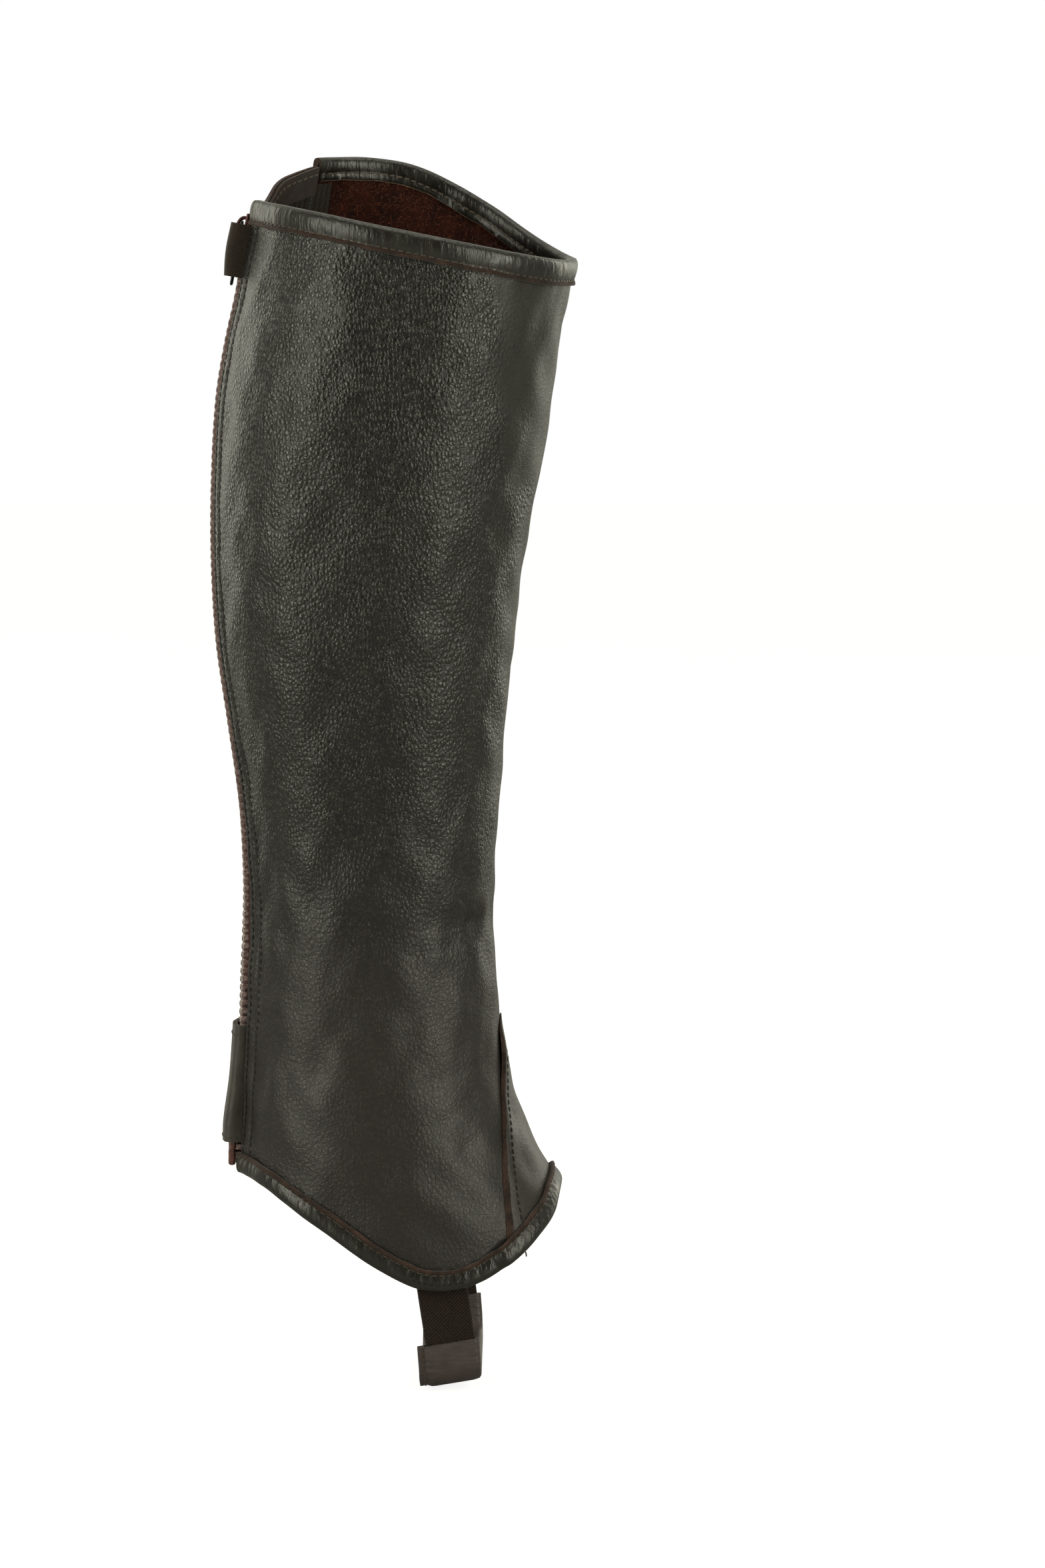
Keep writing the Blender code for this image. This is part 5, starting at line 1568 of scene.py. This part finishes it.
def make_world():
    """Pale surroundings: bright behind and beside the object, dim where the camera stands."""
    world = bpy.data.worlds.new("studio")
    bpy.context.scene.world = world
    world.use_nodes = True
    w = Nodes(world.node_tree)
    _, ahead, _ = w.parts(w.node("ShaderNodeTexCoord", "Generated"))
    seen = w.node("ShaderNodeLightPath", "Is Camera Ray")
    strength = w.math("MAXIMUM", w.ramp(ahead, -0.40, 0.50, 0.01, 0.75), seen)
    w.set(w.tree.nodes["Background"], Strength=strength, Color=w.colours(seen, LIGHT_TINT, (1, 1, 1)))


SoftBox = namedtuple("SoftBox", "name at size power")
SOFT_BOXES = (
    SoftBox("left_box", (-1.38, -1.18, 0.10), (0.6, 1.8), 30),
    SoftBox("right_box", (1.29, -1.22, 0.05), (0.5, 1.8), 28),
    SoftBox("top_box", (0.1, -0.2, 1.9), (1.6, 1.6), 18),
    SoftBox("back_left_box", (-1.5, 1.5, 0.3), (0.7, 1.8), 9),
    SoftBox("back_right_box", (1.5, 1.6, 0.3), (0.7, 1.8), 14),
)
LIGHT_TINT = (1.0, 0.988, 0.83)
LIGHTS_AIM = Vector((0.0, 0.0, -0.14))


def make_lights():
    for box in SOFT_BOXES:
        light = bpy.data.lights.new(box.name, "AREA")
        light.shape = "RECTANGLE"
        light.size, light.size_y = box.size
        light.energy = box.power
        light.color = LIGHT_TINT
        lamp = add_object(box.name, light)
        lamp.location = box.at
        lamp.rotation_euler = (LIGHTS_AIM - Vector(box.at)).to_track_quat("-Z", "Y").to_euler()


def make_camera():
    camera = bpy.data.cameras.new("camera")
    camera.sensor_fit = "VERTICAL"
    camera.sensor_height = SENSOR_HEIGHT
    camera.lens = CAMERA_LENS
    camera.clip_end = 100
    holder = add_object("camera", camera)
    holder.location = Vector(CAMERA_AT) * MM
    holder.rotation_euler = (math.radians(90 - CAMERA_TILT), 0, 0)
    bpy.context.scene.camera = holder
    bpy.context.scene.view_settings.view_transform = "Standard"


make_camera()
make_main_panel()
make_panel_sewing()
make_nap()
make_gusset()
make_side_elastic()
make_facing()
make_top_binding()
make_hem_binding()
make_tape("tape_inner", -1, "zip_tape_inner")
make_tape("tape_outer", 1, "zip_tape_outer")
make_teeth()
make_slider()
make_pull()
make_box()
make_tabs()
make_snaps()
make_strap()
make_sleeve()
make_floor()
make_world()
make_lights()
